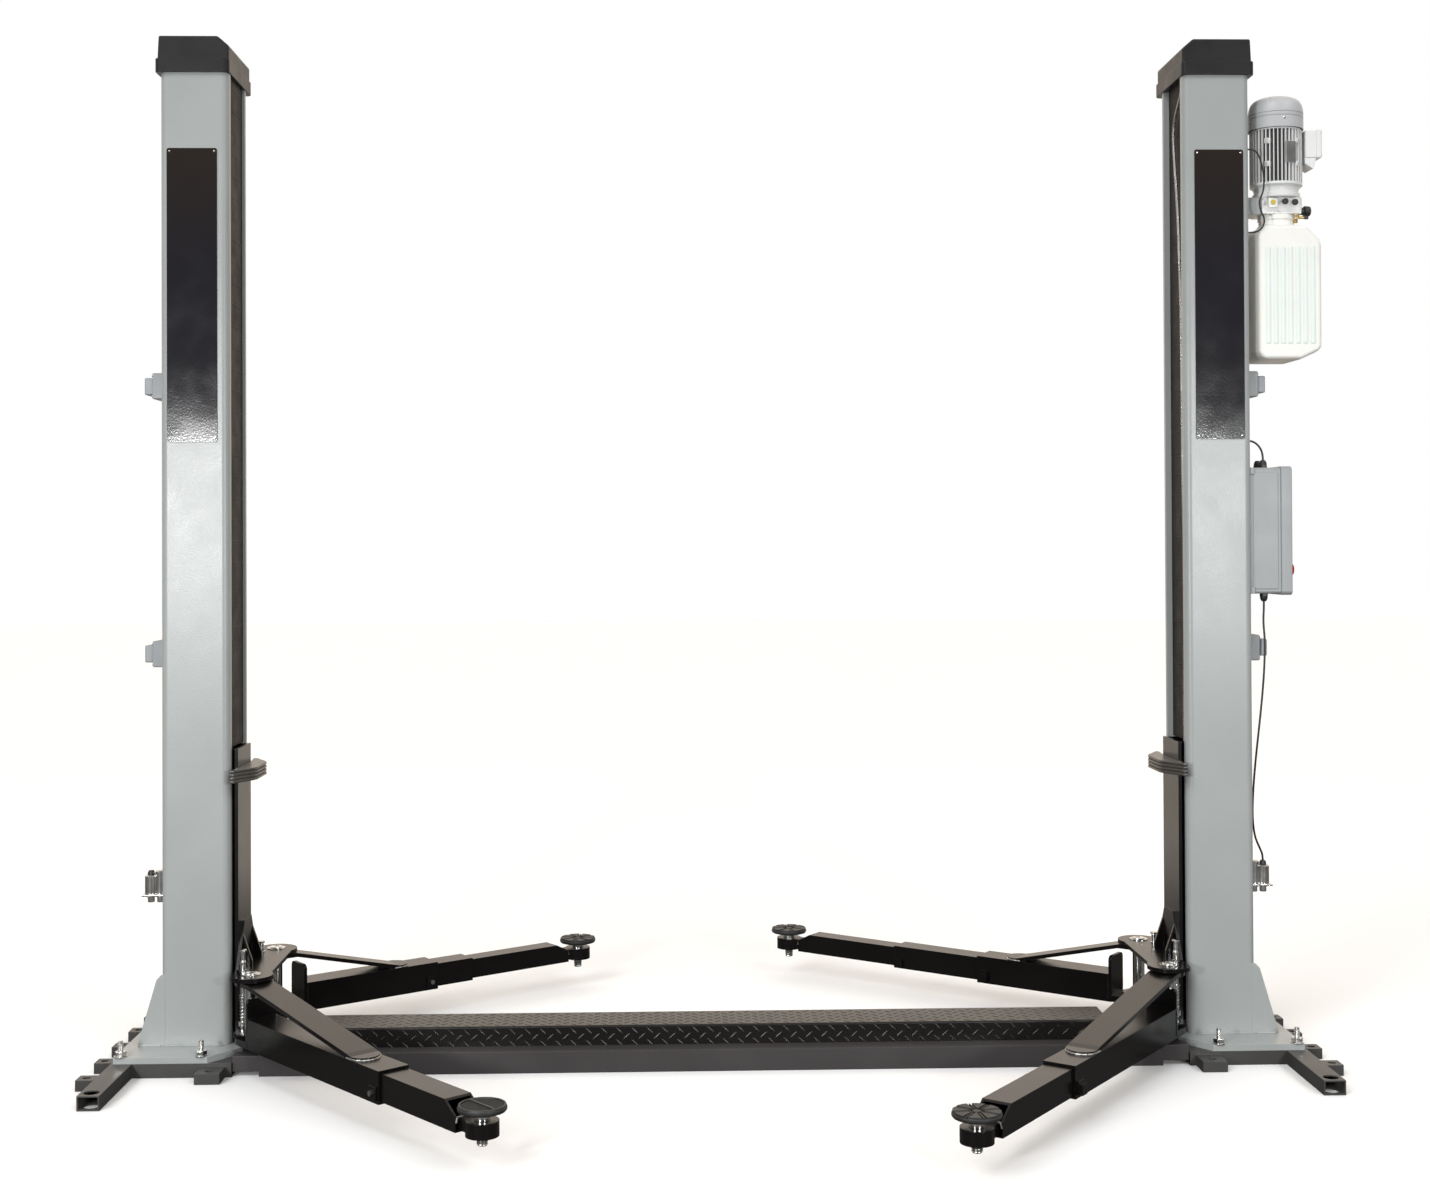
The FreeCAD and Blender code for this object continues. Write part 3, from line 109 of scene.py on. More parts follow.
# Materials
class Finish:
    """A material built from one surface shader and a few helper nodes."""

    def __init__(self, name, roughness, **sockets):
        self.material = bpy.data.materials.new(name)
        self.material.use_nodes = True
        self.tree = self.material.node_tree
        self.shader = self.tree.nodes["Principled BSDF"]
        self.shader.inputs["Roughness"].default_value = roughness
        for socket, value in sockets.items():
            self.shader.inputs[socket.replace("_", " ")].default_value = value
        self.place = self.node("ShaderNodeTexCoord").outputs["Object"]

    def node(self, kind, **values):
        made = self.tree.nodes.new(kind)
        for name, value in values.items():
            setattr(made, name, value)
        return made

    def link(self, source, target):
        self.tree.links.new(source, target)

    def noise(self, scale, detail):
        texture = self.node("ShaderNodeTexNoise")
        texture.inputs["Scale"].default_value = scale
        texture.inputs["Detail"].default_value = detail
        self.link(self.place, texture.inputs["Vector"])
        return texture.outputs["Fac"]

    def place_along(self, axis):
        split = self.node("ShaderNodeSeparateXYZ")
        self.link(self.place, split.inputs["Vector"])
        return split.outputs[axis]

    def ramp(self, source, *stops):
        made = self.node("ShaderNodeValToRGB")
        elements = made.color_ramp.elements
        while len(elements) < len(stops):
            elements.new(0.5)
        for element, (position, colour) in zip(elements, stops):
            element.position = position
            element.color = (*colour, 1.0)
        self.link(source, made.inputs["Fac"])
        return made.outputs["Color"]

    def mottled(self, source, colour, darker, lighter, start=0.3, end=0.7):
        """A colour that varies a little with its source."""
        return self.ramp(source, (start, shade(colour, darker)), (end, shade(colour, lighter)))

    def spread(self, source, low, high, start=0.3, end=0.7):
        made = self.node("ShaderNodeMapRange")
        for name, value in (("From Min", start), ("From Max", end), ("To Min", low), ("To Max", high)):
            made.inputs[name].default_value = value
        self.link(source, made.inputs["Value"])
        return made.outputs["Result"]

    def bump(self, source, height, normal=None):
        made = self.node("ShaderNodeBump")
        made.inputs["Distance"].default_value = height
        self.link(source, made.inputs["Height"])
        if normal:
            self.link(normal, made.inputs["Normal"])
        return made.outputs["Normal"]

    def round_edges(self, radius):
        made = self.node("ShaderNodeBevel", samples=4)
        made.inputs["Radius"].default_value = radius
        return made.outputs["Normal"]

    def edges(self, rounded):
        """1 on flat faces, less along sharp edges."""
        geometry = self.node("ShaderNodeNewGeometry")
        dot = self.node("ShaderNodeVectorMath", operation="DOT_PRODUCT")
        self.link(rounded, dot.inputs[0])
        self.link(geometry.outputs["Normal"], dot.inputs[1])
        return dot.outputs["Value"]

    def product(self, first, second):
        made = self.node("ShaderNodeMath", operation="MULTIPLY")
        self.link(first, made.inputs[0])
        self.link(second, made.inputs[1])
        return made.outputs["Value"]

    def mix(self, factor, first, second):
        made = self.node("ShaderNodeMix", data_type="RGBA")
        self.link(factor, made.inputs["Factor"])
        for socket, value in ((made.inputs[6], first), (made.inputs[7], second)):
            if isinstance(value, tuple):
                socket.default_value = (*value, 1.0)
            else:
                self.link(value, socket)
        return made.outputs[2]

    def dress(self, **sources):
        """Links each named socket of the surface and gives the finished material."""
        for socket, source in sources.items():
            self.link(source, self.shader.inputs[socket.replace("_", " ")])
        return self.material


def shade(colour, factor):
    return tuple(min(1.0, c * factor) for c in colour)


def coated_metal(name, colour, roughness, grain, grain_scale, variation=0.08, edge=0.0012,
                 worn=None, shine=0.5):
    """Sprayed or powder-coated steel with a fine grain, softened edges and slight wear on them."""
    made = Finish(name, roughness, Specular_IOR_Level=shine)
    tone = made.mottled(made.noise(3.0, 3.0), colour, 1 - variation, 1 + variation, 0.35, 0.65)
    rounded = made.round_edges(edge)
    if worn:
        sharp = made.spread(made.edges(rounded), 1.0, 0.0, 0.72, 0.93)
        patch = made.spread(made.noise(38.0, 5.0), 0.0, 1.0, 0.52, 0.64)
        tone = made.mix(made.product(sharp, patch), tone, worn)
    return made.dress(Base_Color=tone,
                      Roughness=made.spread(made.noise(11.0, 4.0), roughness * 0.93, roughness * 1.08),
                      Normal=made.bump(made.noise(grain_scale, 2.0), grain, rounded))


def plated(name, colour, roughness):
    """Plated or machined metal with faint smears."""
    made = Finish(name, roughness, Metallic=1.0)
    return made.dress(Base_Color=made.mottled(made.noise(24.0, 5.0), colour, 0.8, 1.08),
                      Roughness=made.spread(made.noise(60.0, 4.0), roughness * 0.7, roughness * 1.5),
                      Normal=made.bump(made.noise(420.0, 2.0), 0.00006, made.round_edges(0.0006)))


def moulded(name, colour, roughness, grain, grain_scale, variation=0.07, edge=0.0015, sockets=None):
    """Moulded plastic or rubber with a fine grain."""
    made = Finish(name, roughness, **(sockets or {}))
    return made.dress(Base_Color=made.mottled(made.noise(7.0, 4.0), colour, 1 - variation, 1 + variation),
                      Roughness=made.spread(made.noise(19.0, 4.0), roughness * 0.88, roughness * 1.12),
                      Normal=made.bump(made.noise(grain_scale, 3.0), grain, made.round_edges(edge)))


def panel_with_painted_reflection(name):
    """Gloss black sheet, warmer towards its top, with a painted reflection of the screens towards its foot: lighter
    there and speckled with grey.
    """
    made = Finish(name, 0.1, Coat_Weight=0.5, Coat_Roughness=0.05, Specular_IOR_Level=0.35)
    low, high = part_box("name_panels")
    height = made.spread(made.place_along("Z"), 0.0, 1.0, low.z, high.z)
    # tone by height; the lighter stop at the foot is part of the painted reflection of the screens
    tone = made.ramp(height, (0.0, (0.045, 0.046, 0.048)), (0.13, (0.012, 0.011, 0.014)),
                     (0.6, (0.008, 0.007, 0.011)), (1.0, (0.016, 0.011, 0.008)))
    # painted reflection of the screens: grey speckle mixed in over the lowest part of the panel
    painted_reflection_speck = made.spread(made.noise(900.0, 1.0), 0.0, 1.0, 0.58, 0.66)
    foot = made.spread(height, 0.55, 0.0, 0.0, 0.16)
    return made.dress(Base_Color=made.mix(made.product(painted_reflection_speck, foot), tone, (0.16, 0.16, 0.16)),
                      Roughness=made.spread(made.noise(9.0, 3.0), 0.07, 0.14),
                      Normal=made.bump(made.noise(170.0, 2.0), 0.0001, made.round_edges(0.0006)))


# Colour, roughness, height of the grain in metres and its fineness; then, where they aren't the usual ones,
# the spread of tone, the radius of soft edges in metres, the colour of worn edges and the shine
COATS = {
    "tread_paint": ((0.0065, 0.0056, 0.005), 0.3, 0.0003, 420.0, 0.2, 0.0008, (0.08, 0.075, 0.07), 0.35),
    "motor_alloy": ((0.68, 0.69, 0.68), 0.3, 0.0003, 300.0, 0.1, 0.0015),
    "cowl_plastic": ((0.44, 0.45, 0.46), 0.4, 0.0002, 300.0, 0.05, 0.002),
    "box_paint": ((0.275, 0.29, 0.297), 0.4, 0.0002, 300.0, 0.06, 0.002),
}
# The same, and last the surface's other sockets
MOULDINGS = {
    "cap_plastic": ((0.014, 0.013, 0.013), 0.4, 0.0004, 420.0, 0.1, 0.003, {"Specular_IOR_Level": 0.3}),
    "block_grey": ((0.28, 0.295, 0.31), 0.45, 0.0002, 300.0),
    "cable_black": ((0.014, 0.014, 0.014), 0.42, 0.0001, 300.0, 0.15, 0.0005),
    "curtain_black": ((0.013, 0.010, 0.009), 0.58, 0.0004, 260.0, 0.2, 0.0015, {"Specular_IOR_Level": 0.2}),
    "slide_nylon": ((0.62, 0.61, 0.56), 0.4, 0.0002, 200.0),
    "bumper_rubber": ((0.05, 0.046, 0.042), 0.3, 0.0004, 300.0, 0.25),
    "pad_rubber": ((0.013, 0.013, 0.013), 0.5, 0.0005, 420.0, 0.25),
    "tank_plastic": ((0.80, 0.80, 0.755), 0.42, 0.0003, 90.0, 0.03, 0.006,
                     {"Subsurface_Weight": 0.2, "Subsurface_Scale": 0.01}),
    "gland_plastic": ((0.016, 0.016, 0.016), 0.4, 0.0002, 300.0),
    "tag_yellow": ((0.62, 0.42, 0.03), 0.45, 0.0001, 200.0),
    "button_red": ((0.55, 0.012, 0.012), 0.22, 0.0001, 200.0, 0.08, 0.002, {"Coat_Weight": 0.4}),
}
# Colour and roughness
PLATINGS = {
    "chrome": ((0.72, 0.72, 0.70), 0.16),
    "rope_steel": ((0.46, 0.46, 0.45), 0.3),
    "weld_metal": ((0.42, 0.41, 0.39), 0.38),
    "valve_alloy": ((0.60, 0.60, 0.59), 0.36),
    "brass": ((0.62, 0.42, 0.14), 0.3),
}
MATERIALS = {}


def build_materials(settings):
    """Makes every material and gives each part of the frame its own."""
    paints = {
        "column_paint": (tuple(settings.column_colour), 0.3, settings.grain, 330.0, 0.035, 0.0015),
        "frame_paint": (tuple(settings.frame_colour), 0.45, 0.0003, 260.0, 0.15, 0.002, (0.12, 0.11, 0.10)),
        "rail_paint": (tuple(settings.rail_colour), 0.4, 0.0002, 300.0, 0.08, 0.003),
        "arm_black": (tuple(settings.arm_colour), 0.22, 0.00012, 240.0, 0.2, 0.0018, (0.06, 0.06, 0.062), 0.3),
    }
    for make, finishes in ((coated_metal, paints), (coated_metal, COATS), (moulded, MOULDINGS), (plated, PLATINGS)):
        for name, values in finishes.items():
            MATERIALS[name] = make(name, *values)
    MATERIALS["panel_gloss"] = panel_with_painted_reflection("panel_gloss")
    for name, node in NODES.items():
        node.data.materials.clear()
        node.data.materials.append(MATERIALS[SLOT_OF[name]])


class LIFT_OT_finishes(bpy.types.Operator):
    """Gives every part of the frame its paint, plating, rubber or plastic"""
    bl_idname = "lift.finishes"
    bl_label = "Finishes"

    def execute(self, context):
        build_materials(context.scene.lift_finish)
        return {"FINISHED"}


def new_object(name, data):
    """An object of the scene that shows the data."""
    made = bpy.data.objects.new(name, data)
    bpy.context.scene.collection.objects.link(made)
    return made


def frames(path, carried=True):
    """Each point of a path with two directions across it, turned as little as can be where they are carried on."""
    side = None
    for point, before, after in zip(path, path[:1] + path[:-1], path[1:] + path[-1:]):
        ahead = (after - before).normalized()
        if side is None or not carried:
            side = ahead.orthogonal().normalized()
        else:
            side = ahead.cross(side.cross(ahead)).normalized()
        yield point, side, ahead.cross(side)


# Mesh building, in millimetres
SOFTENED_ABOVE = math.radians(25.0)


class Shape:
    """Collects solid pieces in one mesh, each with its own softened edges."""

    def __init__(self):
        self.mesh = bmesh.new()
        self.slot = 0

    def settle(self, faces, corners=(), place=None):
        """Gives new faces their material and outward normals, once their corners are in place."""
        for face in faces:
            face.material_index = self.slot
        if place is not None:
            bmesh.ops.transform(self.mesh, matrix=place, verts=corners)
        bmesh.ops.recalc_face_normals(self.mesh, faces=faces)

    def solid(self, points, faces, soft=0.0, steps=2, place=None):
        corners = [self.mesh.verts.new(p) for p in points]
        made = [self.mesh.faces.new([corners[i] for i in face]) for face in faces]
        self.settle(made, corners, place)
        if soft:
            edges = {e for face in made for e in face.edges if e.calc_face_angle(0) > SOFTENED_ABOVE}
            bmesh.ops.bevel(self.mesh, geom=list(edges), offset=soft, offset_type="OFFSET", segments=steps,
                            profile=0.5, affect="EDGES", clamp_overlap=True)

    def prism(self, outline, low, high, soft=1.0, place=None, steps=2):
        """A plan outline in x and y, drawn up from low to high."""
        count = len(outline)
        points = [(x, y, z) for z in (low, high) for x, y in outline]
        faces = [tuple(reversed(range(count))), tuple(range(count, 2 * count))]
        faces += [(k, (k + 1) % count, (k + 1) % count + count, k + count) for k in range(count)]
        self.solid(points, faces, soft, steps, place)

    def box(self, low, high, soft=1.0, place=None, steps=2):
        (x0, y0, z0), (x1, y1, z1) = low, high
        self.prism([(x0, y0), (x1, y0), (x1, y1), (x0, y1)], z0, z1, soft, place, steps)

    def plate(self, outline, holes, low, high):
        """A plan outline with round holes (x, y, radius), drawn up from low to high."""
        loops = [outline] + [[(x + u, y + v) for u, v in circle(radius, 32)] for x, y, radius in holes]
        points = [(x, y, z) for z in (low, high) for loop in loops for x, y in loop]
        count, start = len(points) // 2, 0
        fill = tessellate_polygon([[Vector((x, y, 0)) for x, y in loop] for loop in loops])
        faces = [tuple(corner) for corner in fill] + [tuple(k + count for k in corner) for corner in fill]
        for loop in loops:
            ring = [start + k for k in range(len(loop))]
            faces += [(a, b, b + count, a + count) for a, b in zip(ring, ring[1:] + ring[:1])]
            start += len(loop)
        self.solid(points, faces)

    def skin(self, rings, around):
        """Faces between closed rings of corners, where a ring may be a single corner."""
        made = []
        for low, high in zip(rings, rings[1:]):
            for k in range(around):
                j = (k + 1) % around
                corners = dict.fromkeys((low[k % len(low)], low[j % len(low)],
                                         high[j % len(high)], high[k % len(high)]))
                if len(corners) > 2:
                    made.append(self.mesh.faces.new(list(corners)))
        return made

    def lathe(self, profile, place=None, around=32):
        """A profile of (radius, height) points turned about the z axis."""
        rings = []
        for radius, height in profile:
            ring = circle(radius, around) if radius > 1e-6 else [(0, 0)]
            rings.append([self.mesh.verts.new((x, y, height)) for x, y in ring])
        self.settle(self.skin(rings, around), [v for ring in rings for v in ring], place)

    def tube(self, rings):
        """Closed rings of points as one skin with both ends shut."""
        rings = [[self.mesh.verts.new(p) for p in ring] for ring in rings]
        made = self.skin(rings, len(rings[0]))
        made += [self.mesh.faces.new(list(reversed(rings[0]))), self.mesh.faces.new(rings[-1])]
        self.settle(made)

    def sweep(self, path, section):
        """A closed section carried along a path of points."""
        path = [Vector(p) for p in path]
        self.tube([[point + side * u + up * v for u, v in section] for point, side, up in frames(path)])

    def rod(self, start, end, radius, soft=0.6, around=24, end_radius=None):
        """A round bar with softened ends between two points."""
        length = (Vector(end) - Vector(start)).length
        last = end_radius or radius
        profile = [(0, 0), (radius - soft, 0), (radius, soft),
                   (last, length - soft), (last - soft, length), (0, length)]
        self.lathe(profile, along(start, end), around)

    def hexagon(self, centre, direction, across, height, soft=0.8):
        """A hexagonal nut or bolt head."""
        place = along(centre, Vector(centre) + Vector(direction))
        self.prism(circle(across / math.sqrt(3), 6), 0, height, soft, place)

    def move(self, matrix):
        bmesh.ops.transform(self.mesh, matrix=matrix, verts=self.mesh.verts)

    def mirror(self):
        """Turns a right-hand shape into the left-hand one."""
        bmesh.ops.scale(self.mesh, vec=(-1, 1, 1), verts=self.mesh.verts)
        bmesh.ops.reverse_faces(self.mesh, faces=self.mesh.faces)

    def add(self, other):
        """Takes over another shape's pieces."""
        data = bpy.data.meshes.new("part")
        other.mesh.to_mesh(data)
        other.mesh.free()
        self.mesh.from_mesh(data)
        bpy.data.meshes.remove(data)

    def done(self, name, node, extra=(), adds=False, smooth=32.0, side=1):
        """The finished object in metres, in place of a part of the frame or added to it."""
        if side < 0:
            self.mirror()
        bmesh.ops.scale(self.mesh, vec=(MM, MM, MM), verts=self.mesh.verts)
        data = bpy.data.meshes.new(name)
        self.mesh.to_mesh(data)
        self.mesh.free()
        data.shade_smooth()
        data.set_sharp_from_angle(angle=math.radians(smooth))
        for slot in (SLOT_OF[node], *extra):
            data.materials.append(MATERIALS[slot])
        made = new_object(name, data)
        flat = made.modifiers.new("flat_faces", "WEIGHTED_NORMAL")
        flat.weight = 100
        flat.keep_sharp = True
        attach(made, BODY_OF[node])
        if not adds:
            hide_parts(node)
        return made


def along(start, end):
    """The matrix that lays the z axis from start towards end."""
    start, end = Vector(start), Vector(end)
    turn = (end - start).to_track_quat("Z", "Y")
    return Matrix.Translation(start) @ turn.to_matrix().to_4x4()


def at(x=0, y=0, z=0, turn=0):
    return Matrix.Translation((x, y, z)) @ Matrix.Rotation(math.radians(turn), 4, "Z")


def circle(radius, count):
    return [(radius * math.cos(2 * math.pi * k / count), radius * math.sin(2 * math.pi * k / count))
            for k in range(count)]


def arc(x, y, radius, first, last, steps):
    """Points of an arc about x and y, between two angles in degrees."""
    angles = [math.radians(first + (last - first) * k / steps) for k in range(steps + 1)]
    return [(x + radius * math.cos(angle), y + radius * math.sin(angle)) for angle in angles]


def rounded_outline(x0, x1, y0, y1, radius, steps=5):
    """A rectangle in plan with round corners."""
    corners = ((x1 - radius, y1 - radius), (x0 + radius, y1 - radius),
               (x0 + radius, y0 + radius), (x1 - radius, y0 + radius))
    return [point for k, (x, y) in enumerate(corners) for point in arc(x, y, radius, 90 * k, 90 * k + 90, steps)]


def thread(height, end, first, second, pitch):
    """The part of a screw's profile that carries its thread, from one radius to another and back."""
    profile = []
    while height < end:
        profile += [(first, height), (second, height + pitch / 2)]
        height += pitch
    return profile


def limits(node, side=1):
    """The lowest and highest corners of a part of the frame, in millimetres.

    With a side of -1 they are those of its mirror image, for a left part that is drawn on the right.
    """
    low, high = (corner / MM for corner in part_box(node))
    if side < 0:
        low.x, high.x = -high.x, -low.x
    return low, high


def middle_of(node):
    low, high = limits(node)
    return (low + high) / 2


def mirrored_pair(draw):
    """A shape drawn on the right and its mirror image on the left."""
    shape = Shape()
    for side in SIDES.values():
        piece = Shape()
        draw(piece)
        if side < 0:
            piece.mirror()
        shape.add(piece)
    return shape


# Places and measures of the lift, in millimetres
ALONG_X = Matrix(((0, 0, 1, 0), (1, 0, 0, 0), (0, 1, 0, 0), (0, 0, 0, 1)))
ALONG_Y = Matrix(((1, 0, 0, 0), (0, 0, 1, 0), (0, 1, 0, 0), (0, 0, 0, 1)))
ARM_ANGLES = {"front_left": -49.7, "front_right": 233.4, "rear_left": 36.0, "rear_right": 143.3}
ARM_REACHES = {"front_left": 1148, "front_right": 1215, "rear_left": 1092, "rear_right": 1279}
PIVOT_X, PIVOT_Y = 1318.0, 172.0
LOCK_X, LOCK_Y, CLEVIS_TOP = 1352.0, 120.0, 272.0
ANCHOR_SPAN, ANCHOR_Y = 225.0, 229.0
COLUMN_OUTER = 1586.0
COVER_BLOCK_HEIGHTS = (1180.0, 1960.0)
PANEL_WIDTH = 144.0
LID_DEPTH = 33.0
ROPE_RADIUS, ROPE_LAY = 4.5, 62.0
CURTAIN_FORWARD, CURTAIN_SPREAD, CURTAIN_RIB_PITCH = 9.0, 9.0, 62.0
TUBE_TOP = 163.0
SPRING_FOOT, SPRING_HEIGHT, SPRING_RADIUS, SPRING_TURNS, SPRING_STEPS = 132.0, 66.0, 10.4, 7, 16

# Routes of the cords and ropes, in metres
MOTOR_CABLE = ((1.586, -0.097, 2.649), (1.606, -0.097, 2.649), (1.620, -0.099, 2.634), (1.628, -0.103, 2.603),
               (1.634, -0.106, 2.562), (1.630, -0.110, 2.522), (1.615, -0.112, 2.494), (1.620, -0.114, 2.466),
               (1.631, -0.115, 2.443), (1.629, -0.116, 2.424), (1.619, -0.111, 2.408), (1.603, -0.099, 2.403),
               (1.586, -0.099, 2.403))
FEED_CABLE = ((1.642, -0.050, 1.735), (1.642, -0.050, 1.757), (1.627, -0.052, 1.781), (1.606, -0.054, 1.793),
              (1.586, -0.054, 1.793))
CONTROL_CABLE = ((1.642, -0.050, 1.316), (1.642, -0.050, 1.294), (1.634, -0.067, 1.256), (1.635, -0.080, 1.200),
                 (1.632, -0.081, 1.120), (1.625, -0.081, 1.035), (1.615, -0.082, 0.948), (1.605, -0.081, 0.860),
                 (1.597, -0.080, 0.772), (1.595, -0.075, 0.688), (1.604, -0.064, 0.624), (1.626, -0.050, 0.582),
                 (1.633, -0.050, 0.566), (1.633, -0.050, 0.550))
ROPES = {"right": ((1.399, -0.081, 2.865), (1.399, -0.081, 2.835), (1.398, -0.064, 2.807), (1.398, -0.012, 2.768),
                   (1.398, 0.014, 2.725), (1.398, 0.006, 2.665), (1.398, -0.033, 2.462), (1.398, -0.061, 2.185),
                   (1.397, -0.065, 1.785), (1.398, -0.077, 1.365), (1.397, -0.069, 1.025), (1.397, -0.069, 0.905)),
         "left": ((-1.415, -0.066, 2.865), (-1.415, -0.066, 1.885), (-1.415, -0.066, 0.905))}


def screw_head(shape, centre, direction, radius, height=None):
    """A domed screw head with a hexagonal socket."""
    height = height or radius * 0.6
    place = along(centre, Vector(centre) + Vector(direction))
    shape.lathe([(0, height * 0.55), (radius * 0.42, height * 0.55), (radius * 0.46, height),
                 (radius * 0.7, height * 0.9), (radius * 0.92, height * 0.6), (radius, height * 0.2), (radius, 0)],
                place, 20)


def lid_screws(shape, x, across, heights, radius):
    """Screw heads at the corners of a lid that faces along x."""
    for y in across:
        for z in heights:
            screw_head(shape, (x, y, z), (1, 0, 0), radius)


def bead(shape, path, radius):
    """A weld bead along a path, with the ripple of its passes."""
    fine = []
    for start, end in zip(path, path[1:]):
        start, end = Vector(start), Vector(end)
        count = max(2, int((end - start).length / (radius * 0.7)))
        fine += [start.lerp(end, k / count) for k in range(count)]
    fine.append(Vector(path[-1]))
    rings = []
    for k, (point, side, up) in enumerate(frames(fine, carried=False)):
        swell = radius * (1.14 if k % 2 else 0.92)
        rings.append([point + (side * u + up * v) * swell for u, v in circle(1.0, 8)])
    shape.tube(rings)


# Cords and ropes
def route_curve(name, route, radius):
    """A smooth round cord that follows the points of its route."""
    data = bpy.data.curves.new(name, "CURVE")
    data.dimensions = "3D"
    data.resolution_u = 16
    data.bevel_depth = radius
    data.bevel_resolution = 5
    data.use_fill_caps = True
    spline = data.splines.new("NURBS")
    spline.points.add(len(route) - 1)
    for point, place in zip(spline.points, route):
        point.co = (*place, 1.0)
    spline.order_u = 3
    spline.use_endpoint_u = True
    return new_object(name, data)


def build_cord(name, node, route, diameter):
    made = route_curve(name, route, diameter / 2)
    made.data.materials.append(MATERIALS[SLOT_OF[node]])
    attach(made, BODY_OF[node])
    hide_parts(node)


def route_points(route, step):
    """Points in millimetres along a route's smooth line, a step apart."""
    curve = route_curve("route", route, 0.0)
    mesh = bpy.data.meshes.new_from_object(curve)
    line = [v.co / MM for v in mesh.vertices]
    bpy.data.meshes.remove(mesh)
    bpy.data.objects.remove(curve)
    points, left = [line[0]], step
    for start, end in zip(line, line[1:]):
        span = (end - start).length
        while span > 0 and left <= span:
            points.append(start.lerp(end, left / span))
            left += step
        left -= span
    return points


def twisted_rope(shape, points, radius, lay, strands=6):
    """Strands wound round a line of points."""
    paths = [[] for _ in range(strands)]
    travelled, last = 0.0, points[0]
    for point, side, up in frames(points):
        travelled += (point - last).length
        last = point
        for n, path in enumerate(paths):
            angle = 2 * math.pi * (travelled / lay + n / strands)
            path.append(point + (side * math.cos(angle) + up * math.sin(angle)) * radius * 0.62)
    for path in paths:
        shape.sweep(path, circle(radius * 0.38, 6))


def shorten(piece):
    """Gives a strip above a carriage its own copy of its mesh."""
    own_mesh(piece)


def build_ropes():
    low, high = limits("sync_ropes")
    for name, route in ROPES.items():
        shape = Shape()
        twisted_rope(shape, route_points(route, 5.2), ROPE_RADIUS, ROPE_LAY)
        made = shape.done("wire_rope_" + name, "sync_ropes", smooth=60)
        shorten(made)


def build_curtains():
    """Thin sheets with cross ribs and a rod along each edge."""
    for name in SIDES:
        low, high = limits("curtain_" + name)
        forward = CURTAIN_FORWARD if name == "left" else 0.0
        low += Vector((forward, -CURTAIN_SPREAD, 0))
        high += Vector((forward, CURTAIN_SPREAD, 0))
        middle = (low.x + high.x) / 2
        shape = Shape()
        shape.box((middle - 0.8, low.y, low.z), (middle + 0.8, high.y, high.z), 0.3)
        count = int((high.z - low.z) / CURTAIN_RIB_PITCH)
        for k in range(count):
            z = low.z + (high.z - low.z) * (k + 0.5) / count
            shape.box((low.x, low.y + 3, z - 2.5), (high.x, high.y - 3, z + 2.5), 0.9)
        for y in (low.y + 1.5, high.y - 1.5):
            shape.rod((middle, y, low.z), (middle, y, high.z), 1.5, 0.4, 10)
        made = shape.done("strip_" + name, "curtain_" + name)
        shorten(made)


# Floor works
LOZENGE_PITCH, LOZENGE_ROW = 43.6, 17.0


def lozenge(shape, place):
    """One raised bar of the chequer plate."""
    points = [(-15, 0, 0), (-7, -3.1, 0), (7, -3.1, 0), (15, 0, 0), (7, 3.1, 0), (-7, 3.1, 0),
              (-8, 0, 1.5), (8, 0, 1.5)]
    faces = [(0, 1, 6), (1, 2, 7, 6), (2, 3, 7), (3, 4, 7), (4, 5, 6, 7), (5, 0, 6)]
    shape.solid(points, faces, 0, place=place)


def chequer(shape, width, rows, origin, across, face, worn=False):
    """Rows of bars, turned one way and the other, over a flat face. Bars marked worn get bare steel tips, a painted
    highlight on their centres.
    """
    turn = Matrix((Vector((1, 0, 0)), across, face)).transposed().to_4x4()
    count = int(width / LOZENGE_PITCH)
    for row in range(rows):
        for k in range(count):
            shift = LOZENGE_PITCH * (k + 0.3 + 0.5 * (row % 2) - count / 2)
            centre = Vector(origin) + Vector((shift, 0, 0)) + across * (LOZENGE_ROW * (row + 0.5))
            lean = 42 if row % 2 else -42
            place = Matrix.Translation(centre) @ turn @ Matrix.Rotation(math.radians(lean), 4, "Z")
            lozenge(shape, place)
            # bare steel tips that stand in for the highlights on the bars' centres: painted highlight
            if worn:
                shape.slot = 1
                shape.box((-1.8, -0.6, 1.2), (1.8, 0.6, 1.8), 0.25, place, 1)
                shape.slot = 0


def build_tread_cover():
    """A folded sheet over the cross rail, with raised bars on its top, front and back."""
    low, high = limits("tread_cover")
    wall, bend = 3.0, 6.0
    outer, inner = [(low.y, low.z)], [(low.y + wall, low.z)]
    for centre, first in ((low.y + bend, 180), (high.y - bend, 90)):
        outer += arc(centre, high.z - bend, bend, first, first - 90, 5)
        inner += arc(centre, high.z - bend, bend - wall, first, first - 90, 5)
    outer.append((high.y, low.z))
    inner.append((high.y - wall, low.z))
    shape = Shape()
    shape.prism(outer + inner[::-1], low.x, high.x, 0.4, ALONG_X)
    width, depth = high.x - low.x - 20, high.y - low.y
    back, up = Vector((0, 1, 0)), Vector((0, 0, 1))
    chequer(shape, width, int((depth - 8) / LOZENGE_ROW), (0, low.y + 5, high.z - 0.2), back, up)
    # the front bars get bare steel tips as painted highlights
    chequer(shape, width, 3, (0, low.y + 0.2, high.z - 58), up, -back, worn=True)
    chequer(shape, width, 6, (0, high.y - 0.2, high.z - 8), -up, back)
    shape.done("tread_cover_sheet", "tread_cover", ["weld_metal"])


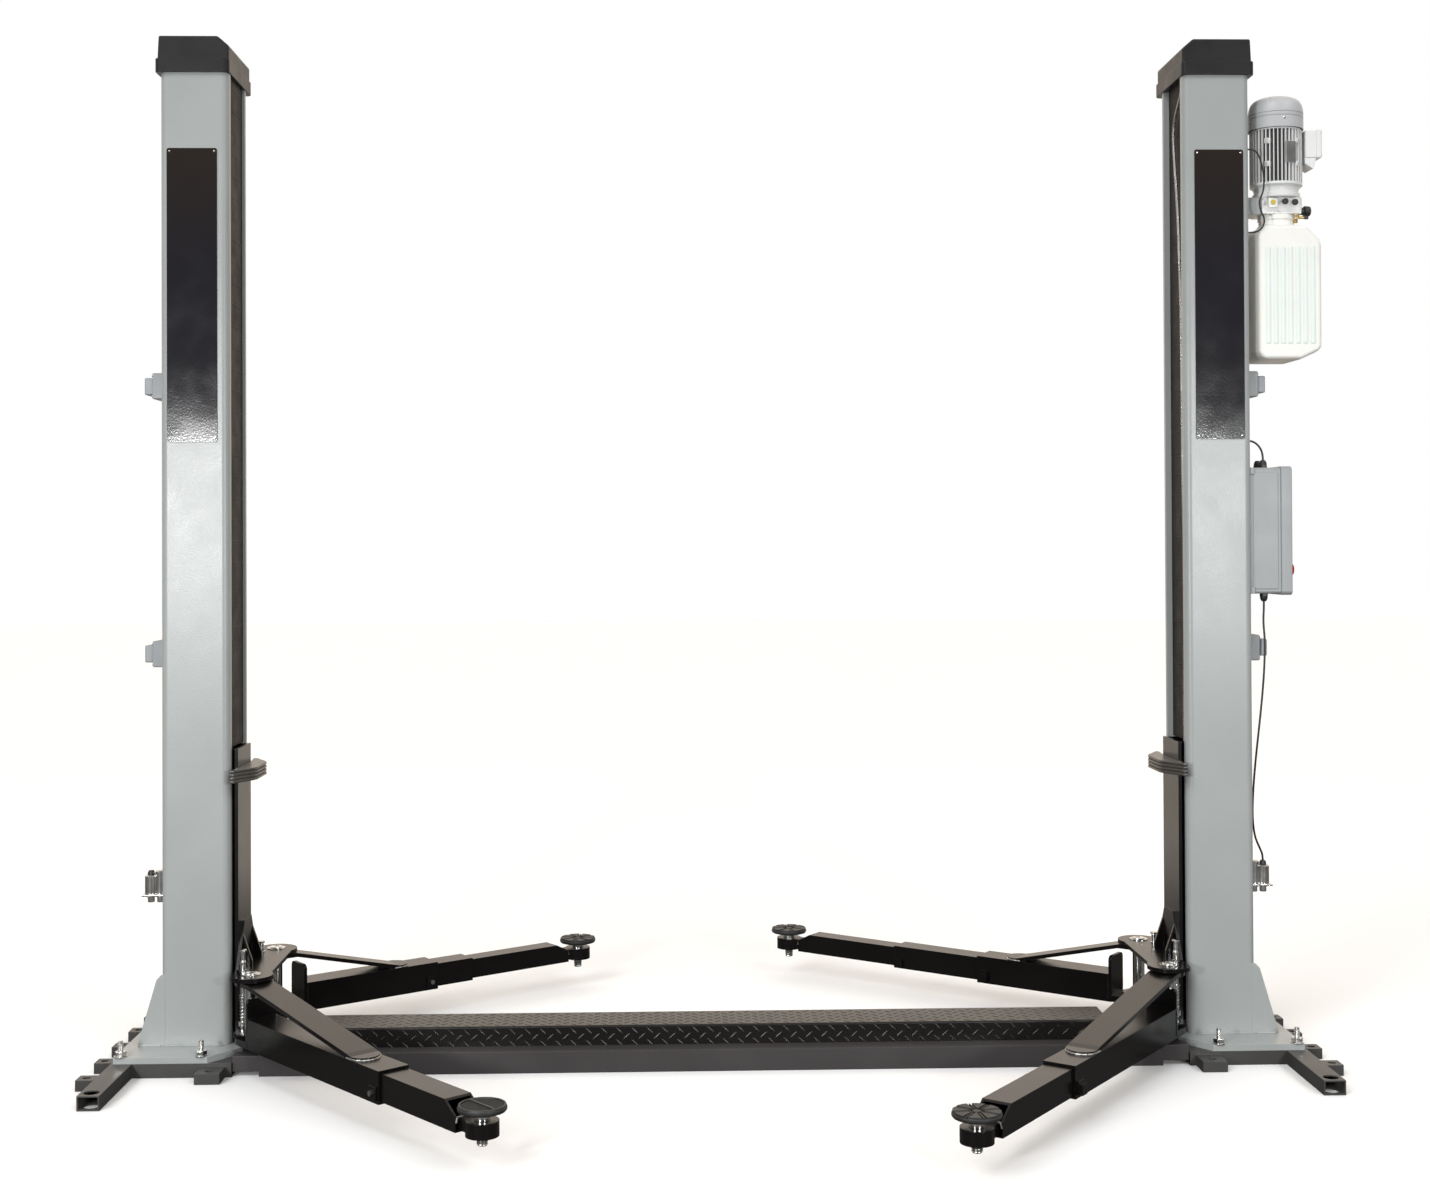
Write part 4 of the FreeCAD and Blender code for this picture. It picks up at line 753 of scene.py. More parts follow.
def build_anchors():
    """The washer, nut and threaded end of each anchor bolt."""
    shape = Shape()
    low, high = limits("anchor_bolts")
    plate_top = limits("base_plates")[1].z
    outer_x = high.x - 17
    inner_x = outer_x - ANCHOR_SPAN
    for x in (inner_x, outer_x, -inner_x, -outer_x):
        for y in (-ANCHOR_Y, ANCHOR_Y):
            shape.lathe([(8.5, 0), (19, 0), (19, 2.2), (18.4, 2.8), (8.5, 2.8)], at(x, y, plate_top), 28)
            shape.hexagon((x, y, plate_top + 2.8), (0, 0, 1), 29, 13, 1.2)
            profile = [(0, low.z), (7.0, low.z)] + thread(plate_top + 14, high.z - 3, 7.9, 6.9, 2)
            profile += [(6.6, high.z - 1.5), (5.2, high.z), (0, high.z)]
            shape.lathe(profile, at(x, y, 0), 16)
    shape.done("anchor_studs", "anchor_bolts")


def build_column_welds():
    """Weld beads between the columns and their base plates."""
    for name, side in SIDES.items():
        low, high = limits("column_" + name)
        seam = low.z + 1
        shape = Shape()
        for y in (low.y, high.y):
            bead(shape, [(side * 1412, y, seam), (side * 1566, y, seam)], 3.2)
        bead(shape, [(side * COLUMN_OUTER, -100, seam), (side * COLUMN_OUTER, 100, seam)], 3.2)
        shape.done("column_weld_" + name, "column_" + name, adds=True)


def build_gussets():
    """Wide foot plates at the outer corners of the columns."""
    for name, side in SIDES.items():
        low, high = limits("column_" + name)
        foot, wall = low.z, COLUMN_OUTER
        outline = [(wall - 12, foot), (wall + 67, foot), (wall + 64, foot + 16), (wall + 37, foot + 108),
                   (wall + 13, foot + 190), (wall - 3, foot + 198), (wall - 12, foot + 198)]
        shape = Shape()
        for front in (low.y - 0.6, high.y - 8.6):
            shape.prism(outline, front, front + 9.2, 0.8, ALONG_Y)
        for y in (low.y - 0.6, high.y + 0.6):
            bead(shape, [(wall + 2, y, foot + 1), (wall + 60, y, foot + 1)], 3.0)
        shape.done("gusset_" + name, "column_" + name, adds=True, side=side)


# Columns
def build_caps():
    """Caps with a skirt below and a sloping inner edge on top."""
    for name, side in SIDES.items():
        low, high = limits("column_cap_" + name, side)
        skirt = low.z + 40
        shape = Shape()
        shape.prism(rounded_outline(low.x, high.x, low.y, high.y, 14), low.z, skirt, 1.8)
        outline = [(low.x + 1.5, skirt - 16), (high.x - 6, skirt - 16), (high.x - 10, high.z), (low.x + 34, high.z),
                   (low.x + 1.5, high.z - 28)]
        shape.prism(outline, low.y + 5, high.y - 20, 5, ALONG_Y, 3)
        shape.done("cap_shell_" + name, "column_cap_" + name, side=side)


def build_cover_blocks():
    """Square housings with a raised lid on the outer sides of the columns."""
    low, high = limits("cover_blocks")
    lid, half = high.x, high.y
    face = lid - 63

    def draw(piece):
        for z in COVER_BLOCK_HEIGHTS:
            piece.slot = 0
            piece.box((face, -half, z - 38), (face + 37, half, z + 38), 3.5, steps=3)
            piece.box((face + 30, -half + 13, z - 25), (lid, half - 13, z + 25), 4, steps=3)
            piece.slot = 1
            lid_screws(piece, face + 37, (-half + 6.5, half - 6.5), (z - 30, z + 30), 4)

    mirrored_pair(draw).done("cover_block_housings", "cover_blocks", ["chrome"])


def build_solenoids():
    """A coil and a taller guide beside it on one bracket, with their nuts below and the cable's gland on top."""
    low, high = limits("lock_solenoids")
    shelf = low.z + 20
    coil, y, face = high.x - 20, (low.y + high.y) / 2, high.x - 67

    def draw(piece):
        piece.box((face, y - 30, shelf), (high.x, y + 30, shelf + 5), 1)
        piece.box((face, y - 26, shelf), (face + 4, y + 26, high.z - 8), 1)
        piece.slot = 1
        for x, radius, top in ((coil, 18, high.z - 13), (face + 20, 15, high.z)):
            body = [(0, shelf + 5), (radius, shelf + 5), (radius, top - 3), (radius - 3, top), (0, top)]
            nut = [(0, low.z), (9, low.z), (10, low.z + 2), (10, shelf - 5), (13, shelf - 5), (13, shelf), (0, shelf)]
            piece.lathe(body, at(x, y), 28)
            piece.lathe(nut, at(x, y), 24)
        piece.slot = 2
        gland = [(0, high.z - 13), (10, high.z - 13), (10, high.z - 6), (7, high.z), (0, high.z)]
        piece.lathe(gland, at(coil, y), 24)

    mirrored_pair(draw).done("solenoid_coils", "lock_solenoids", ["chrome", "gland_plastic"])


def build_name_panels():
    """The bare black panels, with a screw at each corner."""
    low, high = limits("name_panels")
    inner, outer = high.x - PANEL_WIDTH, high.x

    def draw(piece):
        piece.prism(rounded_outline(inner, outer, low.z, high.z, 6), low.y, high.y, 0.8, ALONG_Y)
        piece.slot = 1
        for x in (inner + 8, outer - 8):
            for z in (low.z + 10, high.z - 10):
                screw_head(piece, (x, low.y, z), (0, -1, 0), 3.2)

    mirrored_pair(draw).done("panel_sheets", "name_panels", ["chrome"])


# Power unit
def build_motor():
    """A finned body on its flange, with bosses for the screws and a bare nameplate."""
    low, high = limits("motor_body")
    x, y = middle_of("motor_body").xy
    radius = 76.0
    shape = Shape()
    bell = low.z + 40
    shape.lathe([(0, low.z), (radius - 9, low.z), (radius - 7, low.z + 3), (radius - 7, low.z + 14),
                 (radius - 13, low.z + 17), (radius - 9, bell - 9), (radius, bell - 3), (radius, bell + 4),
                 (radius - 10, bell + 5), (0, bell + 5)], at(x, y), 48)
    shape.lathe([(0, high.z - 4), (radius - 2, high.z - 4), (radius - 2, high.z), (0, high.z)], at(x, y), 48)
    shape.slot = 2
    shape.lathe([(radius - 9, bell + 4), (radius - 9, high.z - 3)], at(x, y), 48)
    shape.slot = 0
    for k in range(40):
        place = at(x, y, 0, 9 * k + 4.5)
        shape.box((radius - 9, -1.4, bell + 4), (radius, 1.4, high.z - 3), 0.5, place, 1)
    for turn in (-53, -127, 53, 127):
        for z in (high.z - 107, high.z - 39):
            place = at(x, y, z, turn)
            shape.box((radius - 10, -9, -8), (radius + 1, 9, 8), 2.5, place)
            boss = place @ Matrix.Translation((radius + 0.5, 0, 0)) @ Matrix.Rotation(math.radians(90), 4, "Y")
            shape.lathe([(3, 3), (6.5, 0), (7.5, 1.2), (4, 1.6)], boss, 16)
    shape.slot = 1
    shape.box((radius - 4, -17, high.z - 106), (radius + 1, 17, high.z - 42), 0.6, at(x, y, 0, -74))
    shape.done("motor_casting", "motor_body", ["chrome", "gland_plastic"])


def build_cowl():
    low, high = limits("fan_cowl")
    x, y = middle_of("fan_cowl").xy
    radius = (high.x - low.x) / 2
    shape = Shape()
    profile = [(4, 2), (0, 0), (0, 32), (1.6, 33), (1.6, 35), (0, 36), (0, 43), (1.6, 44), (1.6, 46), (0, 47),
               (0.4, 54), (2, 64), (4.5, 73), (9, 82), (16, 89), (26, 94), (40, 98), (58, 100.4), (radius, 101)]
    shape.lathe([(radius - inset, low.z + z) for inset, z in profile], at(x, y), 64)
    shape.slot = 1
    for turn in (-90, 0, 90, 180):
        outward = Vector((math.cos(math.radians(turn)), math.sin(math.radians(turn)), 0))
        screw_head(shape, Vector((x, y, low.z + 26)) + outward * (radius - 0.5), outward, 4)
    shape.done("cowl_shell", "fan_cowl", ["chrome"])


def build_terminal_box():
    low, high = limits("terminal_box")
    shape = Shape()
    split, base = high.x - 16, low.z + 32
    shape.box((low.x, low.y + 3, base + 2), (split, high.y - 3, high.z - 3), 3)
    shape.box((split - 1, low.y, base), (high.x, high.y, high.z), 5, steps=3)
    foot = [(low.x, low.z + 16), (low.x + 25, low.z), (high.x - 14, base + 4), (low.x, base + 4)]
    shape.prism(foot, low.y + 6, high.y - 6, 2.5, ALONG_Y)
    shape.slot = 1
    lid_screws(shape, high.x, (low.y + 9, high.y - 9), (base + 9, high.z - 9), 3.5)
    shape.done("terminal_housing", "terminal_box", ["chrome"])


def build_valve_block():
    low, high = limits("valve_block")
    x, y = middle_of("motor_body").xy
    front, right, back = low.y, 2 * x - low.x, 2 * y - low.y
    shape = Shape()
    shape.box((low.x, front, low.z), (right, back, high.z), 2.5)
    shape.slot = 1
    for shift, drop in ((10, 14), (39, 16)):
        shape.rod((x + shift, front - 7, high.z - drop), (x + shift, front + 1, high.z - drop), 9, 1.5)
    knob = low.z + 16
    shape.rod((right - 1, y, knob), (high.x - 18, y, knob), 11, 1.5, 28)
    shape.rod((high.x - 20, y, knob), (high.x, y, knob), 16, 2.5, 28, 15)
    shape.rod((x + 73, front + 22, low.z - 8), (x + 86, front + 22, low.z - 8), 5, 1, 16)
    shape.slot = 2
    shape.rod((x - 27, front - 6, high.z - 16), (x - 27, front - 3, high.z - 16), 7, 1)
    shape.slot = 3
    shape.hexagon((x + 48, front + 22, low.z + 1), (0, 0, -1), 20, 13, 1.2)
    shape.rod((x + 48, front + 22, low.z - 8), (x + 74, front + 22, low.z - 8), 4, 0.6, 16)
    shape.rod((x + 48, front + 22, low.z - 10), (x + 48, front + 22, low.z - 24), 6.5, 1, 20)
    shape.slot = 4
    shape.box((x - 42, front - 3, high.z - 31), (x - 12, front + 1, high.z - 2), 1.5)
    shape.done("valve_manifold", "valve_block", ["gland_plastic", "tag_yellow", "brass", "tank_plastic"])


def build_tank():
    """A translucent tank with upright ribs and a wide cap."""
    low, high = limits("oil_tank")
    motor = middle_of("motor_body")
    top = high.z - 38
    shape = Shape()
    outline = [(low.x + 16, low.z), (high.x - 62, low.z), (high.x - 6, low.z + 26), (high.x, low.z + 40),
               (high.x, top - 52), (high.x - 6, top - 42), (high.x - 48, top), (low.x + 16, top), (low.x, top - 16),
               (low.x, low.z + 16)]
    shape.prism(outline, low.y, high.y, 12, ALONG_Y, 4)
    for k in range(7):
        x = low.x + 26 + 22 * k
        for y in (low.y, high.y):
            shape.box((x - 6.5, y - 1, low.z + 46), (x + 6.5, y + 1, top - 66), 0.95, steps=3)
    shape.lathe([(0, top - 2), (56, top - 2), (56, top + 5), (51, top + 9), (51, top + 22), (54, top + 24),
                 (54, high.z), (0, high.z)], at(motor.x, motor.y), 48)
    shape.done("tank_shell", "oil_tank", smooth=40)


# Control box
def build_control_box():
    low, high = limits("control_box")
    shape = Shape()
    lid = high.x - LID_DEPTH
    shape.prism(rounded_outline(low.y + 4, high.y - 4, low.z + 4, high.z - 4, 8), low.x, lid, 1.2, ALONG_X)
    shape.prism(rounded_outline(low.y, high.y, low.z, high.z, 12), lid, high.x, 3.0, ALONG_X, 3)
    shape.box((low.x + 10, low.y + 2.4, low.z + 18), (lid - 8, low.y + 6, high.z - 18), 1.6)
    shape.box((low.x + 10, high.y - 6, low.z + 18), (lid - 8, high.y - 2.4, high.z - 18), 1.6)
    for z in (low.z + 4, high.z - 24):
        for y in (low.y - 0.5, high.y - 19.5):
            shape.box((low.x, y, z), (low.x + 14, y + 20, z + 20), 2)
    shape.slot = 1
    lid_screws(shape, high.x, (low.y + 16, high.y - 16), (low.z + 22, high.z - 22), 4)
    shape.done("control_enclosure", "control_box", ["chrome"])


def build_button():
    low, high = limits("stop_button")
    y, z = middle_of("stop_button").yz
    radius = (high.z - low.z) / 2
    place = Matrix.Translation((0, y, z)) @ ALONG_X
    shape = Shape()
    head = high.x - 14
    shape.lathe([(0, head), (radius - 4, head), (radius, head + 3), (radius - 0.5, head + 8),
                 (radius * 0.8, high.x - 1), (radius * 0.4, high.x), (0, high.x)], place, 36)
    shape.slot = 1
    shape.lathe([(0, low.x), (11, low.x), (11, head + 1), (0, head + 1)], place, 28)
    shape.done("button_mushroom", "stop_button", ["gland_plastic"])


def build_glands():
    box_low, box_high = limits("control_box")
    x = middle_of("cable_glands").x
    shape = Shape()
    for y, start, way in ((-50, box_high.z - 4, 1), (0, box_high.z - 4, 1), (-50, box_low.z + 4, -1)):
        shape.hexagon((x, y, start), (0, 0, way), 22, 9, 1)
        place = along((x, y, start + way * 9), (x, y, start + way * 40))
        shape.lathe([(0, 0), (11, 0), (11, 6), (9, 11), (6, 15), (0, 15)], place, 24)
    shape.done("gland_nuts", "cable_glands")


# Carriages
def bumper_outline(x, reach, half):
    front = [(x, -83), (x + 8, -half), (x - 6, -half), (x - reach * 0.5, -116), (x - reach * 0.86, -84),
             (x - reach, -60)]
    return front + [(u, -v) for u, v in reversed(front)]


def build_bumpers():
    for name, side in SIDES.items():
        low, high = limits("door_bumper_" + name, side)
        face = high.x - 8
        reach = face - low.x
        pitch = (high.z - low.z) / 4
        shape = Shape()
        for k in range(4):
            z = low.z + pitch * k
            shape.prism(bumper_outline(face, reach, high.y), z + 1.2, z + pitch - 1.2, 2.2)
        shape.prism(bumper_outline(face, reach - 5, high.y - 5), low.z + 3, high.z - 3, 1)
        shape.done("bumper_ribs_" + name, "door_bumper_" + name, side=side)


def build_clevises():
    """Steel plates above and below the arms, with holes for the pins and the lock rods."""
    back = PIVOT_X + 56
    for name, side in SIDES.items():
        low, high = limits("clevis_plates_" + name)
        holes = [(x, end * y, radius) for x, y, radius in ((PIVOT_X, PIVOT_Y, 18.1), (LOCK_X, LOCK_Y, 9.0))
                 for end in (-1, 1)]
        shape = Shape()
        for radius, first, last, waist, corner, floor, top in (
                (62.0, -147, -330, [], 185, high.z - 12, high.z),
                (50.0, -143, -284, [(PIVOT_X + 20, 60)], 112, low.z, low.z + 10)):
            lobe = arc(PIVOT_X, PIVOT_Y, radius, first, last, (first - last) // 3)
            half = waist + lobe + [(back, corner)]
            shape.plate(half + [(x, -y) for x, y in reversed(half)], holes, floor, top)
        shape.done("clevis_sheets_" + name, "clevis_plates_" + name, side=side)


def build_pins():
    """Pins with a notched collar and a ring on their heads."""
    rim, notch = circle(28.0, 48), circle(25.4, 48)
    collar = [(notch if k % 6 in (0, 1) else rim)[k] for k in range(48)]
    for name in SIDES:
        low, high = limits("pivot_pins_" + name)
        x, seat = (low.x + high.x) / 2, high.z - 6
        shape = Shape()
        for y in (low.y + 28, high.y - 28):
            place = at(x, y)
            shape.lathe([(0, low.z), (16, low.z), (18, low.z + 2), (18, seat + 1), (0, seat + 1)], place, 36)
            shape.prism(collar, seat, seat + 2.5, 0.4, place)
            shape.lathe([(12, seat + 2.5), (19, seat + 2.5), (19.6, seat + 4), (19, seat + 5.6), (13, seat + 6),
                         (11, seat + 4), (0, seat + 4)], place, 36)
        shape.done("pin_heads_" + name, "pivot_pins_" + name)


# Arms
def arm_sides(arm):
    """The side of an arm, -1 for the left, and its end, -1 for the front."""
    return (-1 if arm.endswith("left") else 1), (-1 if arm.startswith("front") else 1)


def build_pads():
    for arm, angle in ARM_ANGLES.items():
        low, high = limits("pad_" + arm)
        place = at((low.x + high.x) / 2, (low.y + high.y) / 2, 0, angle)
        radius, floor, top = (high.x - low.x) / 2, low.z, high.z
        shape = Shape()
        shape.lathe([(0, floor + 9), (radius - 10, floor + 9), (radius - 3, floor + 11), (radius, floor + 15),
                     (radius, top - 7), (radius - 2, top - 5), (0, top - 5)], place, 56)
        tread = stud_tread if arm == "front_left" else wedge_tread
        tread(shape, place, radius, top)
        shape.done("pad_tread_" + arm, "pad_" + arm)


def stud_tread(shape, place, radius, top):
    """Raised studs of a pad inside a rim, with one bar across them."""
    shape.lathe([(radius - 8, top - 5.5), (radius - 7, top - 0.5), (radius - 3, top - 0.5), (radius - 1, top - 5.5)],
                place, 56)
    shape.box((-radius + 8, -3.5, top - 6), (radius - 8, 3.5, top), 1.2, place)
    for row in range(-8, 9):
        for k in range(-8, 9):
            x, y = 6.4 * k + 3.2 * (row % 2), 5.6 * row
            if math.hypot(x, y) < radius - 11 and abs(y) > 5:
                spot = place @ Matrix.Translation((x, y, top - 6))
                shape.lathe([(2.5, 0), (1.9, 3), (0, 3)], spot, 6)


def wedge_tread(shape, place, radius, top):
    """Raised wedges of a pad with bars between them, round a small boss."""
    for turn in range(0, 360, 45):
        tip = math.radians(turn + 22.5)
        outline = [(15 * math.cos(tip), 15 * math.sin(tip))] + arc(0, 0, radius - 2, turn + 6, turn + 39, 5)
        shape.prism(outline, top - 7, top, 1.4, place)
        shape.box((20, -1.8, top - 7), (radius - 3, 1.8, top - 1), 0.8, place @ at(turn=turn))
    shape.lathe([(10.5, top - 6), (10, top - 1), (0, top - 1)], place, 20)


def build_spindles():
    for arm in ARM_ANGLES:
        low, high = limits("pad_spindle_" + arm)
        place = at((low.x + high.x) / 2, (low.y + high.y) / 2)
        eye_top = high.z - (12.0 if arm.startswith("front") else 6.5) + 0.3
        collar = high.z + 9.5
        profile = [(0, low.z), (11, low.z), (13.6, low.z + 3)] + thread(low.z + 5, eye_top - 3, 12.6, 13.9, 3)
        shape = Shape()
        shape.lathe(profile + [(13.9, eye_top), (0, eye_top)], place, 28)
        shape.lathe([(0, eye_top), (19, eye_top), (20, eye_top + 1), (20, collar - 5), (24, collar), (0, collar)],
                    place, 40)
        shape.done("screw_" + arm, "pad_spindle_" + arm)


def build_locks():
    """The head, spring and washers of each lock rod."""
    coil = circle(SPRING_RADIUS, SPRING_STEPS)
    steps = SPRING_TURNS * SPRING_STEPS
    for arm in ARM_ANGLES:
        top = limits("arm_lock_" + arm)[1].z
        side, end = arm_sides(arm)
        place = at(side * LOCK_X, end * LOCK_Y)
        shape = Shape()
        shape.lathe([(7.5, top - 6), (10.4, top - 5), (11, top - 3.5), (10.6, top - 1), (8, top + 0.6), (0, top + 0.8)],
                    place, 28)
        shape.lathe([(8.2, CLEVIS_TOP), (11, CLEVIS_TOP), (11, CLEVIS_TOP + 3), (8.2, CLEVIS_TOP + 3)], place, 28)
        shape.sweep([place @ Vector((*coil[k % SPRING_STEPS], SPRING_FOOT + SPRING_HEIGHT * k / steps))
                     for k in range(steps + 1)], circle(1.3, 8))
        shape.lathe([(8.2, 200), (12.5, 200), (12.5, 203), (8.2, 203)], place, 28)
        shape.done("lock_spring_" + arm, "arm_lock_" + arm, adds=True)


def build_arm_details():
    """Weld beads and the stop plate with its bolt on each arm, drawn along x from its pivot."""
    for arm in ARM_ANGLES:
        side, end = arm_sides(arm)
        place = at(side * PIVOT_X, end * PIVOT_Y, 0, ARM_ANGLES[arm])
        if end < 0:
            head, tip, strap, half, eye_top = 62, 755, 655, 36, 121.5
        else:
            head, tip, strap, half, eye_top = 80, 530, 440, 30, 127.0
        shape = Shape()
        shape.slot = 1
        centre, z = strap - 42, TUBE_TOP + 1
        tongue = [(x, y, z) for x, y in arc(centre, 0, 42, -90, 90, 12)]
        bead(shape, [(centre - 18, -42, z)] + tongue + [(centre - 18, 42, z)], 2.8)
        shape.slot = 0
        for y in (-45, 45):
            bead(shape, [(head + 1, y * 0.98, 84), (head + 1, y * 0.98, 160)], 2.5)
        near, far = sorted((side * 44.5, side * 50))
        shape.box((tip - 42, near, 86), (tip - 8, far, 122), 1.5)
        shape.slot = 2
        shape.hexagon((tip - 25, side * 50, 104), (0, side, 0), 15, 8, 1)
        shape.move(place)
        shape.done("arm_weld_" + arm, "arm_outer_" + arm, ["weld_metal", "chrome"], adds=True)
        eye = ARM_REACHES[arm] - 57
        shape = Shape()
        shape.slot = 1
        bead(shape, [(eye, -half, eye_top - 14), (eye, -half + 3, eye_top - 1),
                     (eye, half - 3, eye_top - 1), (eye, half, eye_top - 14)], 2.6)
        shape.move(place)
        shape.done("eye_weld_" + arm, "arm_inner_" + arm, ["weld_metal"], adds=True)


# Studio
CAMERA_PLACE = (-0.13665, -5.48295, 1.49573)
CAMERA_YAW = 0.02776
CAMERA_PITCH = 0.00946
CAMERA_ROLL = -0.00439
CAMERA_LENS = 46.49
CAMERA_SHIFT_Y = -0.0520


def build_camera():
    yaw, pitch, roll = CAMERA_YAW, CAMERA_PITCH, CAMERA_ROLL
    ahead = Vector((math.sin(yaw) * math.cos(pitch), math.cos(yaw) * math.cos(pitch), math.sin(pitch)))
    level = Vector((math.cos(yaw), -math.sin(yaw), 0))
    over = level.cross(ahead)
    right = level * math.cos(roll) + over * math.sin(roll)
    up = over * math.cos(roll) - level * math.sin(roll)
    data = bpy.data.cameras.new("camera")
    data.lens = CAMERA_LENS
    data.sensor_width = 36
    data.sensor_fit = "HORIZONTAL"
    data.shift_y = CAMERA_SHIFT_Y
    data.clip_end = 200
    camera = new_object("camera", data)
    camera.matrix_world = Matrix((right, up, -ahead)).transposed().to_4x4()
    camera.location = CAMERA_PLACE
    bpy.context.scene.camera = camera


def add_light(name, kind, place, target, power, **values):
    """A soft light that faces a point."""
    data = bpy.data.lights.new(name, kind)
    data.energy = power
    for field, value in values.items():
        setattr(data, field, value)
    light = new_object(name, data)
    light.location = place
    light.rotation_euler = (Vector(target) - Vector(place)).to_track_quat("-Z", "Y").to_euler()


def build_floor_paint(colour):
    """Matt pale floor that throws little light back up at the lift, more from far behind it."""
    made = Finish("floor_paint", 0.75, Specular_IOR_Level=0.1)
    grain = made.noise(60.0, 3.0)
    seen = made.mottled(grain, colour, 0.996, 1.004)
    behind = made.spread(made.place_along("Y"), 0.0, 1.0, 1.6, 3.4)
    thrown = made.ramp(behind, (0.0, (0.10, 0.10, 0.10)), (1.0, (0.62, 0.57, 0.52)))
    to_camera = made.node("ShaderNodeLightPath").outputs["Is Camera Ray"]
    return made.dress(Base_Color=made.mix(to_camera, thrown, seen), Normal=made.bump(grain, 0.0002))


def build_stage(settings):
    half = settings.floor_size / 2
    mesh = bpy.data.meshes.new("floor")
    mesh.from_pydata([(-half, -half, 0), (half, -half, 0), (half, half, 0), (-half, half, 0)], [], [(0, 1, 2, 3)])
    floor = new_object("floor", mesh)
    mesh.materials.append(build_floor_paint(tuple(settings.floor_colour)))
    build_world(settings.sky)
    bpy.context.scene.view_settings.view_transform = "Standard"
    for name, place, power in (("key", (-4.5, -5.5, 6.0), settings.key), ("fill", (4.5, -5.0, 6.0), settings.fill)):
        add_light(name, "SUN", place, (0, 0, 0), power, angle=math.radians(34))
    for name, side, power in (("screen_left", -1, settings.screen), ("screen_right", 1, settings.screen * 0.7)):
        add_light(name, "AREA", (side * 2.83, -5.5, 1.71), (side * 1.49, -0.1, 1.66), power, size=0.5)


def build_world(strength):
    """White to the camera; for the light it gives, brighter overhead and warm and bright behind the lift."""
    world = bpy.context.scene.world or bpy.data.worlds.new("studio")
    bpy.context.scene.world = world
    world.use_nodes = True
    tree = world.node_tree

    def node(kind, links, values=(), **fields):
        made = tree.nodes.new(kind)
        for name, value in fields.items():
            setattr(made, name, value)
        for name, value in values:
            made.inputs[name].default_value = value
        for name, source in links:
            tree.links.new(source, made.inputs[name])
        return made

    def spread(source, *ends):
        names = ("From Min", "From Max", "To Min", "To Max")
        return node("ShaderNodeMapRange", [("Value", source)], zip(names, ends)).outputs["Result"]

    direction = tree.nodes.new("ShaderNodeTexCoord").outputs["Generated"]
    split = node("ShaderNodeSeparateXYZ", [("Vector", direction)])
    height = spread(split.outputs["Z"], 0.0, 0.75, strength * 0.8, strength * 1.5)
    behind = spread(split.outputs["Y"], -0.1, 0.6, 0.0, 1.0)
    power = node("ShaderNodeMath", [(0, height), (1, spread(behind, 0.0, 1.0, 0.45, 2.1))], operation="MULTIPLY")
    tint = node("ShaderNodeMix", [(0, behind)], [(6, (1, 1, 1, 1)), (7, (1.0, 0.88, 0.76, 1))], data_type="RGBA")
    sky = tree.nodes["Background"]
    tree.links.new(power.outputs[0], sky.inputs["Strength"])
    tree.links.new(tint.outputs[2], sky.inputs["Color"])
    plain = node("ShaderNodeBackground", [], [("Color", (1, 1, 1, 1))])
    rays = tree.nodes.new("ShaderNodeLightPath")
    mix = node("ShaderNodeMixShader", [("Fac", rays.outputs["Is Camera Ray"]), (1, sky.outputs[0]),
                                       (2, plain.outputs[0])])
    tree.links.new(mix.outputs["Shader"], tree.nodes["World Output"].inputs["Surface"])


class LIFT_OT_stage(bpy.types.Operator):
    """Adds the camera, the pale floor and the soft studio light"""
    bl_idname = "lift.stage"
    bl_label = "Camera and studio"

    def execute(self, context):
        build_camera()
        build_stage(context.scene.lift_stage)
        return {"FINISHED"}


class LIFT_OT_cords(bpy.types.Operator):
    """Lays the cables on the right column"""
    bl_idname = "lift.cords"
    bl_label = "Cables"

    def execute(self, context):
        build_cord("motor_lead", "motor_cable", MOTOR_CABLE, 0.005)
        build_cord("feed_lead", "feed_cable", FEED_CABLE, 0.006)
        build_cord("control_lead", "control_cable", CONTROL_CABLE, 0.006)
        return {"FINISHED"}


class LIFT_OT_floor_works(bpy.types.Operator):
    """Builds the tread cover and the anchor studs"""
    bl_idname = "lift.floor_works"
    bl_label = "Floor works"

    def execute(self, context):
        build_tread_cover()
        build_anchors()
        return {"FINISHED"}


class LIFT_OT_columns(bpy.types.Operator):
    """Builds the welds, gussets, caps, covers, lock solenoids, panels, curtains and ropes of the columns"""
    bl_idname = "lift.columns"
    bl_label = "Column pieces"

    def execute(self, context):
        build_column_welds()
        build_gussets()
        build_caps()
        build_cover_blocks()
        build_solenoids()
        build_name_panels()
        build_curtains()
        build_ropes()
        return {"FINISHED"}


class LIFT_OT_power_unit(bpy.types.Operator):
    """Builds the motor, its cowl and terminal box, the valve block and the oil tank"""
    bl_idname = "lift.power_unit"
    bl_label = "Power unit"

    def execute(self, context):
        build_motor()
        build_cowl()
        build_terminal_box()
        build_valve_block()
        build_tank()
        return {"FINISHED"}


